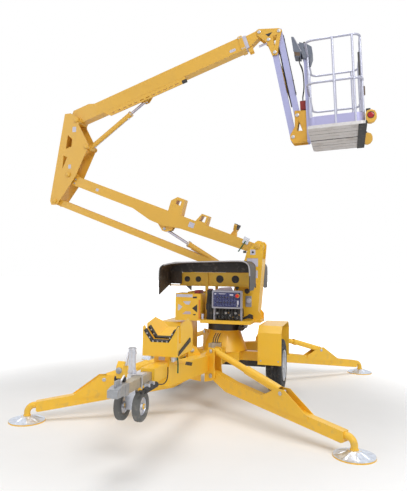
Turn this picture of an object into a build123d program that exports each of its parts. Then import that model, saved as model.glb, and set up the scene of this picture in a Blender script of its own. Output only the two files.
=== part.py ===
from build123d import *
from math import cos, hypot, radians, sin
import os

# Towable boom lift, standing on its four outriggers with the boom slewed across the trailer.
# Millimetres, +Z up, -Y towards the tow coupler, +X towards the work platform.
# Every place below is measured from the slew axis on the ground, at (slew_x, slew_y, 0).

os.makedirs("parts", exist_ok=True)

# Place of the slew axis in the model, which centres the whole machine on the origin
slew_x = 361.6
slew_y = 712.7

# Clearances: round a pin, beside a moving piece, and between sliding faces
pin_gap = 0.3
side_gap = 6.0
slide_gap = 0.5

# Trailer frame
plate = 12.0
spine_half_width = 75.0
spine_low = 430.0
spine_high = 620.0
spine_back = 420.0
spine_bend = -800.0
tongue_front = -2480.0
tongue_low = 590.0
tongue_high = 765.0
cross_half_width = 60.0
cross_low = 430.0
cross_high = 550.0
pedestal_foot_radius = 300.0
pedestal_top_radius = 205.0
pedestal_low = 560.0
ring_low = 832.0
ring_high = 944.5
ring_radius = 235.0
spigot_radius = 90.0
spigot_length = 60.0

# Drawbar, coupler and jack
drawbar_size = 76.0
drawbar_wall = 6.0
drawbar_z = 742.0
drawbar_front = -3330.0
sleeve_front = -2800.0
sleeve_wall = 24.0
socket_radius = 26.0
socket_depth = 48.0
coupler_y = -3420.0
coupler_low = 712.0
coupler_half_width = 42.0
jack_y = -2950.0
jack_radius = 30.0
jack_wall = 4.0
jack_low = 690.0
jack_high = 985.0
jack_offset = 8.0
jockey_axle_z = 530.0
jockey_radius = 125.0
jockey_width = 62.0
jockey_spacing = 160.0
jockey_pin_radius = 12.0
fork_top = 668.0
fork_stem_radius = 14.0
fork_stem_length = 20.0

# Boom rest on the tongue, its trough sloping like the lowered boom
rest_front = -2525.0
rest_back = -2050.0
rest_half_width = 165.0
rest_low = 860.0
rest_floor_z = 1000.0
rest_slope = 11.0
rest_flat = 76.0
rest_open = 135.0
rest_depth = 100.0
pad_thickness = 14.0
pad_length = 44.0

# Road wheels and fenders
axle_z = 385.0
axle_size = 70.0
axle_half_length = 560.0
spindle_radius = 25.0
tyre_radius = 344.0
tyre_width = 205.0
tyre_inner_x = 607.0
rim_radius = 195.0
rim_wall = 8.0
hub_radius = 60.0
fender_inner_x = 525.0
fender_outer_x = 825.0
fender_half_length = 425.0
fender_low = 450.0
fender_shoulder = 850.0
fender_top = 935.0
fender_slope = 85.0
fender_wall = 5.0

# Outriggers: where each one hinges, which way it points, and its side view
front_pivot_x = 148.0
front_pivot_y = -1105.0
front_angle = 31.7
rear_pivot_x = 430.0
rear_pivot_y = 684.0
rear_angle = 40.4
leg_reach = 1800.0
leg_half_width = 45.0
leg_pivot_z = 430.0
leg_boss_radius = 50.0
leg_pin_radius = 20.0
lift_base_z = 705.0
lift_pin_radius = 16.0
lift_eye_s = 1000.0
lift_eye_z = 412.0
lift_barrel_radius = 36.0
lift_barrel_length = 585.0
lift_rod_radius = 19.0
lift_rod_length = 600.0
gusset_thickness = 8.0
foot_radius = 190.0
foot_height = 60.0
post_radius = 33.0
post_z = 168.0
elbow_start = 1650.0
elbow_bend = 75.0

# Turntable
base_low = 945.0
base_high = 990.0
base_left = -230.0
base_right = 438.0
base_half_depth = 460.0
upright_inner = 118.0
upright_right = 516.0
hole_plate_inner = 245.0
hole_plate_thickness = 10.0
battery_left = -590.0
battery_right = -240.0
battery_low = 978.0
battery_high = 1322.0
battery_inner_y = 133.0
battery_outer_y = 402.0
battery_wall = 5.0
panel_left = -58.0
panel_right = 332.0
panel_low = 1148.0
panel_high = 1372.0
panel_front = 500.0
panel_depth = 54.0
hinge_y = 262.0
hinge_z = 1425.0
hinge_rod_radius = 8.0
hood_left = -716.0
hood_right = 470.0
hood_top = 1756.0
hood_back_y = 285.0
hood_edge_y = 697.0
hood_wall = 8.0
hood_corner = 90.0

# Boom linkage pivots in the boom plane, as (x, z)
riser_foot = (463.0, 1959.0)
riser_head = (-2415.0, 3039.0)
link_foot = (249.0, 1566.0)
link_head = (-2629.0, 2646.0)
luff_pivot = (-2297.0, 3863.0)
riser_lift_base = (330.0, 1464.0)
riser_lift_eye = (-898.0, 2213.5)
boom_lift_base = (-2120.0, 3450.0)
boom_lift_eye = (-1225.3, 4107.3)
boom_angle = 18.9
head_ahead = 241.15
head_rise = 94.4

# Jib pivots in the boom plane, measured from the head pivot
level_lug = (130.0, -120.0)
arm_upper_pin = (270.0, -15.0)
arm_lower_pin = (217.0, -305.0)
arm_length = 1206.0
arm_angle = -78.0

# Boom sections
riser_half_width = 75.0
riser_wall = 8.0
main_pin_radius = 30.0
link_pin_radius = 22.0
lift_pin = 25.0
riser_eye_bore = 15.0
boom_eye_bore = 13.0
link_inner = 60.0
link_thickness = 12.0
link_half_depth = 47.0
knuckle_inner = 118.0
boom_half_width = 75.0
boom_low = -45.0
boom_high = 146.0
boom_wall = 8.0
boom_back = -60.0
boom_length = 2700.0
collar_length = 60.0
collar_step = 10.0
fly_half_width = 60.0
fly_low = -30.0
fly_high = 131.0
fly_wall = 6.0
fly_back = 700.0
fly_shown = 90.0
eye_gap = 30.0
eye_plate = 12.0
rod_eye_half_width = 25.0
base_eye_half_width = 50.0
cylinder_radius = 38.0
cylinder_rod_radius = 20.0
riser_barrel_length = 1035.0
riser_rod_length = 1060.0
boom_barrel_length = 824.0
boom_rod_length = 840.0
head_inner = 66.0
head_plate = 10.0
head_pin_radius = 18.0
arm_half_depth = 40.0
arm_half_width = 55.0
arm_wall = 8.0
jib_barrel_radius = 25.0
jib_rod_shown = 180.0
jib_rod_radius = 13.0
jib_rod_start = 120.0
jib_eye_half_width = 38.0
jib_eye_wall = 9.0
jib_eye_bore = 10.0
jib_rod_eye_wall = 8.0
level_pin_radius = 14.0
level_rod_radius = 15.0
level_rod_length = 130.0

# Platform, measured from the middle of its floor's underside and leaning towards the boom
mast_ahead = 134.26
platform_drop = 328.35
platform_lean = 2.7
platform_half_length = 343.0
platform_half_width = 613.0
platform_floor = 38.0
plank_count = 9
plank_rib = 22.0
platform_height = 1120.0
platform_middle = 570.0
toe_height = 150.0
toe_wall = 4.0
post_tube = 16.0
end_rail = 16.5
rail_radius = 17.0
gate_half_width = 262.0
gate_height = 1040.0
gate_low = 60.0
mast_depth = 38.0
mast_half_width = 90.0
mast_top = 1125.0
control_back = 139.0
control_front = 119.0
control_low = 77.0
control_high = 353.0
control_half_width = 130.0
lamp_radius = 55.0
lamp_inset = 113.0
lamp_z = 110.0
lamp_depth = 62.0

ground = Plane(origin=(slew_x, slew_y, 0))
boom_plane = Plane(origin=(slew_x, slew_y, 0), x_dir=(1, 0, 0), z_dir=(0, -1, 0))
side_plane = Plane(origin=(slew_x, slew_y, 0), x_dir=(0, 1, 0), z_dir=(1, 0, 0))
upward = (Align.CENTER, Align.CENTER, Align.MIN)
downward = (Align.CENTER, Align.CENTER, Align.MAX)


def slab(plane, outline, half_width, mode=Mode.ADD):
    """A plate or bar of one outline, centred on a plane."""
    with BuildSketch(plane) as profile:
        with BuildLine():
            Polyline(*outline, close=True)
        make_face()
    extrude(profile.sketch, amount=half_width, both=True, mode=mode)


def box_beam(plane, outline, half_width, wall):
    """A closed beam of one side outline, hollow inside its walls."""
    slab(plane, outline, half_width)
    with BuildSketch(plane) as core:
        with BuildLine():
            Polyline(*outline, close=True)
        make_face()
        offset(amount=-wall, kind=Kind.INTERSECTION, mode=Mode.REPLACE)
    extrude(core.sketch, amount=half_width - wall, both=True, mode=Mode.SUBTRACT)


def plate_pair(plane, outline, inner, thickness, mode=Mode.ADD):
    """Two like plates, one on each side of a plane."""
    for side in (-1, 1):
        with BuildSketch(plane.offset(side * inner)) as profile:
            with BuildLine():
                Polyline(*outline, close=True)
            make_face()
        extrude(profile.sketch, amount=side * thickness, mode=mode)


def disc(plane, place, radius, half_width, mode=Mode.ADD):
    """A pin, boss or bore across a plane, at a place on it."""
    with BuildSketch(plane) as face:
        with Locations(place):
            Circle(radius)
    extrude(face.sketch, amount=half_width, both=True, mode=mode)


def disc_pair(plane, place, radius, inner, thickness, mode=Mode.ADD):
    """Two like discs, one on each side of a plane."""
    for side in (-1, 1):
        with BuildSketch(plane.offset(side * inner)) as face:
            with Locations(place):
                Circle(radius)
        extrude(face.sketch, amount=side * thickness, mode=mode)


def block(x_range, y_range, z_range, mode=Mode.ADD):
    """A box between two corners, in the axes of the part under construction."""
    middle = tuple((start + stop) / 2 for start, stop in (x_range, y_range, z_range))
    size = [abs(stop - start) for start, stop in (x_range, y_range, z_range)]
    with Locations(middle):
        Box(*size, mode=mode)


def along(start, end, frame=boom_plane):
    """A plane at start whose X runs towards end and whose Y points up."""
    origin = frame.from_local_coords((start[0], start[1], 0))
    ahead = frame.from_local_coords((end[0], end[1], 0)) - origin
    across = frame.z_dir if end[0] > start[0] else -frame.z_dir
    return Plane(origin=origin, x_dir=ahead, z_dir=across)


def moved(plane, place):
    """A plane moved to a place on it."""
    return Plane(
        origin=plane.from_local_coords((place[0], place[1], 0)), x_dir=plane.x_dir, z_dir=plane.z_dir
    )


def span(start, end):
    """The distance between two points of one plane."""
    return hypot(end[0] - start[0], end[1] - start[1])


def seen_in(plane, point):
    """A point of the boom plane, seen in another plane parallel to it."""
    spot = plane.to_local_coords(boom_plane.from_local_coords((point[0], point[1], 0)))
    return (spot.X, spot.Y)


def cylinder_barrel(label, plane, radius, length, rod_radius, pin_radius, eye_half_width, eye_wall=14):
    """A hydraulic barrel along X, hung by the base eye at its plane's origin."""
    eye_radius = pin_radius + eye_wall
    with BuildPart() as barrel:
        with Locations(plane.location * Location((eye_radius - 4, 0, 0), (0, 90, 0))):
            Cylinder(radius, length - eye_radius + 4, align=upward)
        with Locations(plane.location * Location((length - 40, 0, 0), (0, 90, 0))):
            Cylinder(radius + 4, 40, align=upward)
        disc(plane, (0, 0), eye_radius, eye_half_width)
        with Locations(plane.location * Location((eye_radius + 30, 0, 0), (0, 90, 0))):
            Cylinder(rod_radius + pin_gap, length, align=upward, mode=Mode.SUBTRACT)
        disc(plane, (0, 0), pin_radius + pin_gap, 2 * eye_half_width, Mode.SUBTRACT)
    barrel.part.label = label
    export_step(barrel.part, f"parts/{label}.step")


def cylinder_rod(label, plane, reach, rod_radius, rod_length, bore_radius, eye_half_width, eye_wall=12):
    """A polished rod whose eye stands at reach along X, running back into its barrel."""
    eye_radius = bore_radius + eye_wall
    with BuildPart() as rod:
        with Locations(plane.location * Location((reach - rod_length, 0, 0), (0, 90, 0))):
            Cylinder(rod_radius, rod_length - eye_radius + 3, align=upward)
        disc(plane, (reach, 0), eye_radius, eye_half_width)
        disc(plane, (reach, 0), bore_radius, 2 * eye_half_width, Mode.SUBTRACT)
    rod.part.label = label
    export_step(rod.part, f"parts/{label}.step")


# Where each outrigger stands, with X outward from its hinge and Y up
corners = []
for end, away, x, y, angle in (
    ("front", -1, front_pivot_x, front_pivot_y, front_angle),
    ("rear", 1, rear_pivot_x, rear_pivot_y, rear_angle),
):
    for side, sign in (("left", 1), ("right", -1)):
        outward = Vector(sign * cos(radians(angle)), away * sin(radians(angle)), 0)
        leg_plane = Plane(
            origin=(slew_x + sign * x, slew_y + y, 0), x_dir=outward, z_dir=outward.cross(Vector(0, 0, 1))
        )
        corners.append((f"{end}_{side}", leg_plane, -x / cos(radians(angle))))

# Trailer frame: spine, cross member, pedestal, outrigger brackets, boom rest and drawbar sleeve
clevis_inner = leg_half_width + side_gap
bracket_outline = [
    (-110, 340), (10, 372), (52, 400), (62, 440), (44, 520), (44, 720), (20, 745), (-48, 745), (-110, 640),
]
sleeve_half = drawbar_size / 2 + sleeve_wall
trough = Plane(
    origin=(slew_x, slew_y + rest_front, rest_floor_z),
    x_dir=(-1, 0, 0),
    z_dir=(0, cos(radians(rest_slope)), sin(radians(rest_slope))),
)
pad_edge = rest_flat + 10
pad_tip = rest_open + 15
with BuildPart(ground) as chassis_frame:
    slab(side_plane, [
        (tongue_front, tongue_low), (spine_bend, spine_low), (spine_back, spine_low),
        (spine_back, spine_high), (spine_bend, spine_high), (tongue_front, tongue_high),
    ], spine_half_width)
    block((-fender_inner_x, fender_inner_x), (-cross_half_width, cross_half_width), (cross_low, cross_high))
    with Locations((0, 0, pedestal_low)):
        Cone(pedestal_foot_radius, pedestal_top_radius, ring_low - pedestal_low, align=upward)
    with Locations((0, 0, ring_low)):
        Cylinder(ring_radius, plate, align=downward)
    block((-250, 250), (-250, 250), (cross_low + 20, pedestal_low))
    for corner, leg_plane, arm_start in corners:
        plate_pair(leg_plane, bracket_outline, clevis_inner, plate)
        slab(leg_plane, [(arm_start, 450), (-70, 450), (-70, 600), (arm_start, 600)], clevis_inner)
    # the boom rest: a post, a low tie, a front plate and a housing, all cut by the sloping trough
    block((-spine_half_width, spine_half_width), (rest_front + 60, rest_front + 220), (700, rest_low + 20))
    block((-rest_half_width, rest_half_width), (rest_front, rest_back), (rest_low, rest_low + 115))
    block((-rest_half_width, rest_half_width), (rest_front, rest_front + pad_length + 6), (rest_low, 1180))
    block((-rest_half_width, rest_half_width), (rest_front + 100, rest_back), (rest_low, 1200))
    slab(side_plane, [
        (rest_back + 10, 1040), (rest_back - 40, 1130), (rest_back - 150, 1176), (rest_back - 150, 1220),
        (rest_back + 10, 1220),
    ], rest_half_width + 10, Mode.SUBTRACT)
    slab(trough, [
        (-pad_edge, -pad_thickness), (pad_edge, -pad_thickness), (pad_tip, rest_depth - 8),
        (pad_tip + 20, rest_depth + 30), (pad_tip + 20, 400), (-pad_tip - 20, 400),
        (-pad_tip - 20, rest_depth + 30), (-pad_tip, rest_depth - 8),
    ], 900, Mode.SUBTRACT)
    block((-sleeve_half, sleeve_half), (sleeve_front, tongue_front + 60),
          (drawbar_z - sleeve_half, drawbar_z + sleeve_half))
    block((-drawbar_size / 2, drawbar_size / 2), (sleeve_front - 10, tongue_front),
          (drawbar_z - drawbar_size / 2, drawbar_z + drawbar_size / 2), Mode.SUBTRACT)
    for corner, leg_plane, arm_start in corners:
        disc(leg_plane, (0, leg_pivot_z), leg_pin_radius, clevis_inner + plate + 8)
        disc(leg_plane, (0, lift_base_z), lift_pin_radius, clevis_inner + plate + 8)
chassis_frame.part.label = "chassis_frame"
export_step(chassis_frame.part, "parts/chassis_frame.step")

# Rubber pads in the trough of the boom rest, in two rows
with BuildPart() as rest_pads:
    for start in (3.0, 104.0):
        slab(trough.offset(start + pad_length / 2), [
            (-rest_open, rest_depth), (-rest_flat, 0), (rest_flat, 0), (rest_open, rest_depth),
            (pad_tip, rest_depth - 8), (pad_edge, -pad_thickness), (-pad_edge, -pad_thickness),
            (-pad_tip, rest_depth - 8),
        ], pad_length / 2)
rest_pads.part.label = "rest_pads"
export_step(rest_pads.part, "parts/rest_pads.step")

drawbar_core = drawbar_size / 2 - drawbar_wall
with BuildPart(ground) as drawbar:
    block((-drawbar_size / 2, drawbar_size / 2), (drawbar_front, tongue_front),
          (drawbar_z - drawbar_size / 2, drawbar_z + drawbar_size / 2))
    block((-drawbar_core, drawbar_core), (drawbar_front - 10, tongue_front + 10),
          (drawbar_z - drawbar_core, drawbar_z + drawbar_core), Mode.SUBTRACT)
drawbar.part.label = "drawbar"
export_step(drawbar.part, "parts/drawbar.step")

# Tow coupler: a cast head with a ball socket below, and a sleeve over the drawbar's end
with BuildPart(ground) as coupler:
    slab(side_plane, [
        (coupler_y - 45, coupler_low), (coupler_y + 45, coupler_low), (drawbar_front, coupler_low - 10),
        (drawbar_front, drawbar_z + 44), (coupler_y + 20, drawbar_z + 44), (coupler_y - 45, drawbar_z + 26),
    ], coupler_half_width)
    with Locations((0, coupler_y, coupler_low)):
        Cylinder(coupler_half_width + 4, 62, align=upward)
        Cylinder(socket_radius, socket_depth, align=upward, mode=Mode.SUBTRACT)
    block((-44, 44), (drawbar_front, drawbar_front + 60), (drawbar_z - 44, drawbar_z + 44))
    block((-drawbar_size / 2, drawbar_size / 2), (drawbar_front, drawbar_front + 100),
          (drawbar_z - drawbar_size / 2, drawbar_z + drawbar_size / 2), Mode.SUBTRACT)
    block((-9, 9), (coupler_y, coupler_y + 70), (drawbar_z + 40, drawbar_z + 84))
coupler.part.label = "coupler"
export_step(coupler.part, "parts/coupler.step")

# Jack: outer tube clamped beside the drawbar, sliding leg, swivelling fork and twin wheels
jack_x = -(drawbar_size / 2 + jack_offset + jack_radius)
with BuildPart(ground) as jack_tube:
    with Locations((jack_x, jack_y, jack_low)):
        Cylinder(jack_radius, jack_high - jack_low, align=upward)
    with Locations((jack_x, jack_y, jack_high)):
        Cylinder(jack_radius + 4, 8, align=upward)
    block((jack_x, drawbar_size / 2), (jack_y - 40, jack_y + 40),
          (drawbar_z + drawbar_size / 2, drawbar_z + drawbar_size / 2 + 14))
    block((jack_x, -drawbar_size / 2), (jack_y - 12, jack_y + 12),
          (drawbar_z - drawbar_size / 2, drawbar_z + drawbar_size / 2))
    with Locations((jack_x, jack_y, jack_low - 1)):
        Cylinder(jack_radius - jack_wall, jack_high - jack_low - 5, align=upward, mode=Mode.SUBTRACT)
jack_tube.part.label = "jack_tube"
export_step(jack_tube.part, "parts/jack_tube.step")

with BuildPart(ground) as jack_leg:
    with Locations((jack_x, jack_y, fork_top + slide_gap)):
        Cylinder(jack_radius - jack_wall - pin_gap, jack_high - 20 - fork_top, align=upward)
        Cylinder(fork_stem_radius + pin_gap, fork_stem_length + 2, align=upward, mode=Mode.SUBTRACT)
jack_leg.part.label = "jack_leg"
export_step(jack_leg.part, "parts/jack_leg.step")

wheel_inner = (jockey_spacing - jockey_width) / 2
with BuildPart(ground) as jockey_fork:
    block((jack_x - wheel_inner + side_gap, jack_x + wheel_inner - side_gap), (jack_y - 26, jack_y + 26),
          (jockey_axle_z - 30, fork_top))
    with Locations((jack_x, jack_y, fork_top)):
        Cylinder(fork_stem_radius, fork_stem_length, align=upward)
    disc(side_plane.offset(jack_x), (jack_y, jockey_axle_z), jockey_pin_radius,
         (jockey_spacing + jockey_width) / 2 + 8)
jockey_fork.part.label = "jockey_fork"
export_step(jockey_fork.part, "parts/jockey_fork.step")

with BuildPart() as jockey_wheels:
    for side in (-1, 1):
        hub_plane = side_plane.offset(jack_x + side * jockey_spacing / 2)
        disc(hub_plane, (jack_y, jockey_axle_z), jockey_radius, jockey_width / 2)
    fillet(jockey_wheels.edges().filter_by(GeomType.CIRCLE), 18)
    disc(side_plane.offset(jack_x), (jack_y, jockey_axle_z), jockey_pin_radius + pin_gap,
         jockey_spacing, Mode.SUBTRACT)
jockey_wheels.part.label = "jockey_wheels"
export_step(jockey_wheels.part, "parts/jockey_wheels.step")

# Axle beam with a spindle at each end
with BuildPart(ground) as axle:
    block((-axle_half_length, axle_half_length), (-axle_size / 2, axle_size / 2),
          (axle_z - axle_size / 2, axle_z + axle_size / 2))
    disc(side_plane, (0, axle_z), spindle_radius, tyre_inner_x + tyre_width - 40)
    for x in (-330, 330):
        block((x - 30, x + 30), (-axle_size / 2, axle_size / 2), (axle_z, cross_low))
axle.part.label = "axle"
export_step(axle.part, "parts/axle.step")

# Fenders, wheels and tyres, one of each on both sides
fender_middle = (fender_inner_x + fender_outer_x) / 2
fender_half_width = (fender_outer_x - fender_inner_x) / 2
wheel_middle = tyre_inner_x + tyre_width / 2
for side, sign in (("left", 1), ("right", -1)):
    with BuildPart(ground) as fender:
        slab(side_plane.offset(sign * fender_middle), [
            (-fender_half_length, fender_low), (-fender_half_length, fender_shoulder),
            (-fender_half_length + fender_slope, fender_top), (fender_half_length - fender_slope, fender_top),
            (fender_half_length, fender_shoulder), (fender_half_length, fender_low),
        ], fender_half_width)
        inner_edge = fender_half_length - fender_wall
        inner_bend = fender_half_length - fender_slope - 2
        slab(side_plane.offset(sign * (fender_middle + fender_wall)), [
            (-inner_edge, fender_low - 5), (-inner_edge, fender_shoulder - 2),
            (-inner_bend, fender_top - fender_wall), (inner_bend, fender_top - fender_wall),
            (inner_edge, fender_shoulder - 2), (inner_edge, fender_low - 5),
        ], fender_half_width, Mode.SUBTRACT)
    fender.part.label = f"fender_{side}"
    export_step(fender.part, f"parts/fender_{side}.step")

    hub_frame = Plane(
        origin=(slew_x + sign * wheel_middle, slew_y, axle_z), x_dir=(0, 1, 0), z_dir=(sign, 0, 0)
    )
    with BuildPart() as tyre:
        disc(hub_frame, (0, 0), tyre_radius, tyre_width / 2)
        fillet(tyre.edges().filter_by(GeomType.CIRCLE), 34)
        disc(hub_frame, (0, 0), rim_radius, tyre_width, Mode.SUBTRACT)
    tyre.part.label = f"tyre_{side}"
    export_step(tyre.part, f"parts/tyre_{side}.step")

    with BuildPart() as rim:
        disc(hub_frame, (0, 0), rim_radius, tyre_width / 2 - 6)
        disc_pair(hub_frame, (0, 0), rim_radius - rim_wall, 14, tyre_width, Mode.SUBTRACT)
        disc(hub_frame.offset(20), (0, 0), hub_radius, 50)
        with BuildSketch(hub_frame) as windows:
            with PolarLocations((rim_radius + hub_radius) / 2, 8):
                Circle(20)
        extrude(windows.sketch, amount=20, both=True, mode=Mode.SUBTRACT)
        disc(hub_frame, (0, 0), spindle_radius + pin_gap, tyre_width, Mode.SUBTRACT)
    rim.part.label = f"rim_{side}"
    export_step(rim.part, f"parts/rim_{side}.step")

# Outriggers with their lift cylinders
for corner, leg_plane, arm_start in corners:
    foot = Plane(origin=leg_plane.from_local_coords((leg_reach, 0, 0)))
    elbow_end = Plane(
        origin=leg_plane.from_local_coords((elbow_start, post_z, 0)), x_dir=leg_plane.z_dir,
        z_dir=leg_plane.x_dir,
    )
    with BuildPart() as outrigger:
        with BuildLine(leg_plane) as elbow:
            FilletPolyline(
                (elbow_start, post_z), (leg_reach, post_z), (leg_reach, foot_height - 20), radius=elbow_bend
            )
        with BuildSketch(elbow_end) as tube:
            Circle(post_radius)
        sweep(tube.sketch, path=elbow.line)
        slab(leg_plane, [
            (-38, 400), (215, 282), (1690, 100), (1712, 110), (1712, 206), (1300, 262), (760, 340),
            (330, 402), (20, 478), (-30, 470),
        ], leg_half_width)
        disc(leg_plane, (0, leg_pivot_z), leg_boss_radius, leg_half_width)
        plate_pair(leg_plane, [
            (735, 300), (750, 345), (950, 455), (1045, 455), (1330, 258), (1330, 215), (1000, 240),
        ], leg_half_width, gusset_thickness)
        disc_pair(leg_plane, (lift_eye_s, lift_eye_z), lift_pin_radius, leg_half_width - 1,
                  gusset_thickness + 2, Mode.SUBTRACT)
        with Locations(foot):
            Cylinder(foot_radius, 12, align=upward)
            Cone(foot_radius - 20, post_radius + 20, foot_height, align=upward)
        disc(leg_plane, (0, leg_pivot_z), leg_pin_radius + pin_gap, clevis_inner, Mode.SUBTRACT)
    outrigger.part.label = f"outrigger_{corner}"
    export_step(outrigger.part, f"parts/outrigger_{corner}.step")

    lift_plane = along((0, lift_base_z), (lift_eye_s, lift_eye_z), leg_plane)
    lift_reach = span((0, lift_base_z), (lift_eye_s, lift_eye_z))
    cylinder_barrel(f"outrigger_barrel_{corner}", lift_plane, lift_barrel_radius, lift_barrel_length,
                    lift_rod_radius, lift_pin_radius, leg_half_width)
    cylinder_rod(f"outrigger_rod_{corner}", lift_plane, lift_reach, lift_rod_radius, lift_rod_length,
                 lift_pin_radius, leg_half_width - side_gap - 5)

# Slew bearing with its worm gear and motor
worm_place = (ring_radius + 20, ring_low + 38)
with BuildPart(ground) as slew_ring:
    with Locations((0, 0, ring_low)):
        Cylinder(ring_radius, ring_high - ring_low, align=upward)
    disc(boom_plane, worm_place, 36, 130)
    block((ring_radius - 40, ring_radius + 20), (-100, 100), (ring_low, ring_low + 74))
    disc(boom_plane.offset(170), worm_place, 28, 50)
    with Locations((0, 0, ring_high)):
        Cylinder(spigot_radius, spigot_length + slide_gap, align=downward, mode=Mode.SUBTRACT)
slew_ring.part.label = "slew_ring"
export_step(slew_ring.part, "parts/slew_ring.step")

# Turntable: base plate, two upright plates round the riser's foot, and the hood carriers
foot_x, foot_z = riser_foot
upright_outline = [
    (100, base_high), (upright_right, base_high), (upright_right, base_high + 66),
    (upright_right - 38, base_high + 111), (foot_x + 83, foot_z + 28), (foot_x + 57, foot_z + 66),
    (foot_x + 7, foot_z + 77), (foot_x - 29, foot_z + 56), (foot_x - 146, foot_z - 75),
    (foot_x - 174, foot_z - 179), (link_foot[0] - 69, link_foot[1] + 34), (120, base_high + 210),
]
hood_carrier_right = base_right - 48
panel_y = (-panel_front, panel_depth - panel_front)
with BuildPart(ground) as turntable:
    block((base_left, base_right), (-base_half_depth, base_half_depth), (base_low, base_high))
    block((base_right, upright_right), (-160, 160), (base_low, base_high))
    with Locations((0, 0, base_low)):
        Cylinder(spigot_radius - pin_gap, spigot_length, align=downward)
    plate_pair(boom_plane, upright_outline, upright_inner, plate)
    slab(boom_plane, [
        (upright_right - 50, base_high), (upright_right - 38, base_high),
        (upright_right - 40, base_high + 111), (foot_x + 65, foot_z - 169), (foot_x + 53, foot_z - 169),
        (upright_right - 52, base_high + 111),
    ], upright_inner)
    for side in (-1, 1):
        near = side * hole_plate_inner
        far = side * (hole_plate_inner + hole_plate_thickness)
        block((battery_left, base_left), (side * battery_inner_y, side * battery_outer_y),
              (battery_low - 12, battery_low))
        block((battery_left + 10, hood_carrier_right), (near, far), (hinge_z + 5, hinge_z + 175))
        block((hood_carrier_right - 140, hood_carrier_right), (side * (upright_inner + plate), near),
              (hinge_z + 25, hinge_z + 155))
        block((base_left + 15, base_left + 55), (far, side * (hinge_y + 12)), (base_high, hinge_z + 165))
        disc(side_plane.offset((hood_left + hood_right) / 2), (side * hinge_y, hinge_z), hinge_rod_radius,
             (hood_right - hood_left) / 2 + 8)
        with BuildSketch(boom_plane.offset(-near)) as holes:
            with Locations((-474, hinge_z + 85), (-318, hinge_z + 85)):
                Circle(32)
            with Locations((-19, hinge_z + 90), (193, hinge_z + 90)):
                Circle(44)
        extrude(holes.sketch, amount=hole_plate_thickness + 2, both=True, mode=Mode.SUBTRACT)
    for place, radius in ((riser_foot, main_pin_radius), (riser_lift_base, lift_pin)):
        disc(boom_plane, place, radius, upright_inner + plate + 10)
    disc_pair(boom_plane, link_foot, link_pin_radius, link_inner - 4, upright_inner + plate + 14 - link_inner)
turntable.part.label = "turntable"
export_step(turntable.part, "parts/turntable.step")

# Open-topped battery boxes, one on each side of the upright, with the batteries in them
with BuildPart(ground) as battery_box:
    for side in (-1, 1):
        block((battery_left, battery_right), (side * battery_inner_y, side * battery_outer_y),
              (battery_low, battery_high))
        block((battery_left + battery_wall, battery_right - battery_wall),
              (side * (battery_inner_y + battery_wall), side * (battery_outer_y - battery_wall)),
              (battery_low + battery_wall, battery_high + 10), Mode.SUBTRACT)
battery_box.part.label = "battery_box"
export_step(battery_box.part, "parts/battery_box.step")

with BuildPart(ground) as batteries:
    for side in (-1, 1):
        block((battery_left + 12, battery_right - 12),
              (side * (battery_inner_y + 12), side * (battery_outer_y - 12)),
              (battery_low + battery_wall, battery_high - 90))
batteries.part.label = "batteries"
export_step(batteries.part, "parts/batteries.step")

# Control panel on two legs, and the hydraulic unit behind it with the oil tank on the far side
with BuildPart(ground) as control_panel:
    block((panel_left, panel_right), panel_y, (panel_low, panel_high))
    for x in (panel_left + 18, panel_right - 18):
        block((x - 12, x + 12), (panel_y[1], panel_y[1] + 20), (base_high, panel_high - 72))
control_panel.part.label = "control_panel"
export_step(control_panel.part, "parts/control_panel.step")

with BuildPart(ground) as hydraulic_unit:
    block((-150, 90), (-400, -160), (base_high, base_high + 130))
    disc(side_plane.offset(195), (-280, base_high + 80), 75, 105)
    block((100, 290), (-340, -220), (base_high, base_high + 20))
    block((-150, 300), (150, 420), (base_high, base_high + 260))
hydraulic_unit.part.label = "hydraulic_unit"
export_step(hydraulic_unit.part, "parts/hydraulic_unit.step")

# Hoods, standing open on their hinge rods
hood_outline = [
    (hood_left, 1280), (hood_left, 1690), (-500, 1735), (290, hood_top), (hood_right, hood_top),
    (hood_right, 1280),
]
for name, side in (("near", -1), ("far", 1)):
    hood_plane = boom_plane.offset(-side * hood_back_y)
    with BuildPart(ground) as hood:
        for start, wall, mode in ((0, 0, Mode.ADD), (hood_wall, hood_wall, Mode.SUBTRACT)):
            with BuildSketch(hood_plane.offset(-side * start)) as arch:
                with BuildLine():
                    Polyline(*hood_outline, close=True)
                make_face()
                fillet(arch.vertices().filter_by(lambda vertex: vertex.Y > 1600), hood_corner)
                if wall:
                    offset(amount=-wall, mode=Mode.REPLACE)
            extrude(arch.sketch, amount=-side * (hood_edge_y - hood_back_y), mode=mode)
        block((hood_left + hood_wall, hood_right - hood_wall),
              (side * (hood_back_y - 1), side * (hood_back_y + hood_wall + 1)), (1200, 1605), Mode.SUBTRACT)
        slab(side_plane, [
            (side * (hood_back_y - 5), 1440), (side * (hood_edge_y + 5), 1310),
            (side * (hood_edge_y + 5), 1200), (side * (hood_back_y - 5), 1200),
        ], 900, Mode.SUBTRACT)
        block((300, hood_right + 5), (side * (hood_back_y - 5), side * (hood_edge_y + 5)), (1200, 1385),
              Mode.SUBTRACT)
        for x in (hood_left + hood_wall / 2, hood_right - hood_wall / 2):
            lug = side_plane.offset(x)
            slab(lug, [
                (side * (hinge_y - 16), hinge_z), (side * hinge_y, hinge_z - 16),
                (side * (hood_back_y + 15), hinge_z + 20), (side * (hood_back_y + 15), hinge_z + 90),
                (side * (hinge_y + 6), hinge_z + 30),
            ], hood_wall / 2)
            disc(lug, (side * hinge_y, hinge_z), 16, hood_wall / 2)
            disc(lug, (side * hinge_y, hinge_z), hinge_rod_radius + pin_gap, hood_wall, Mode.SUBTRACT)
    hood.part.label = f"hood_{name}"
    export_step(hood.part, f"parts/hood_{name}.step")

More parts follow.
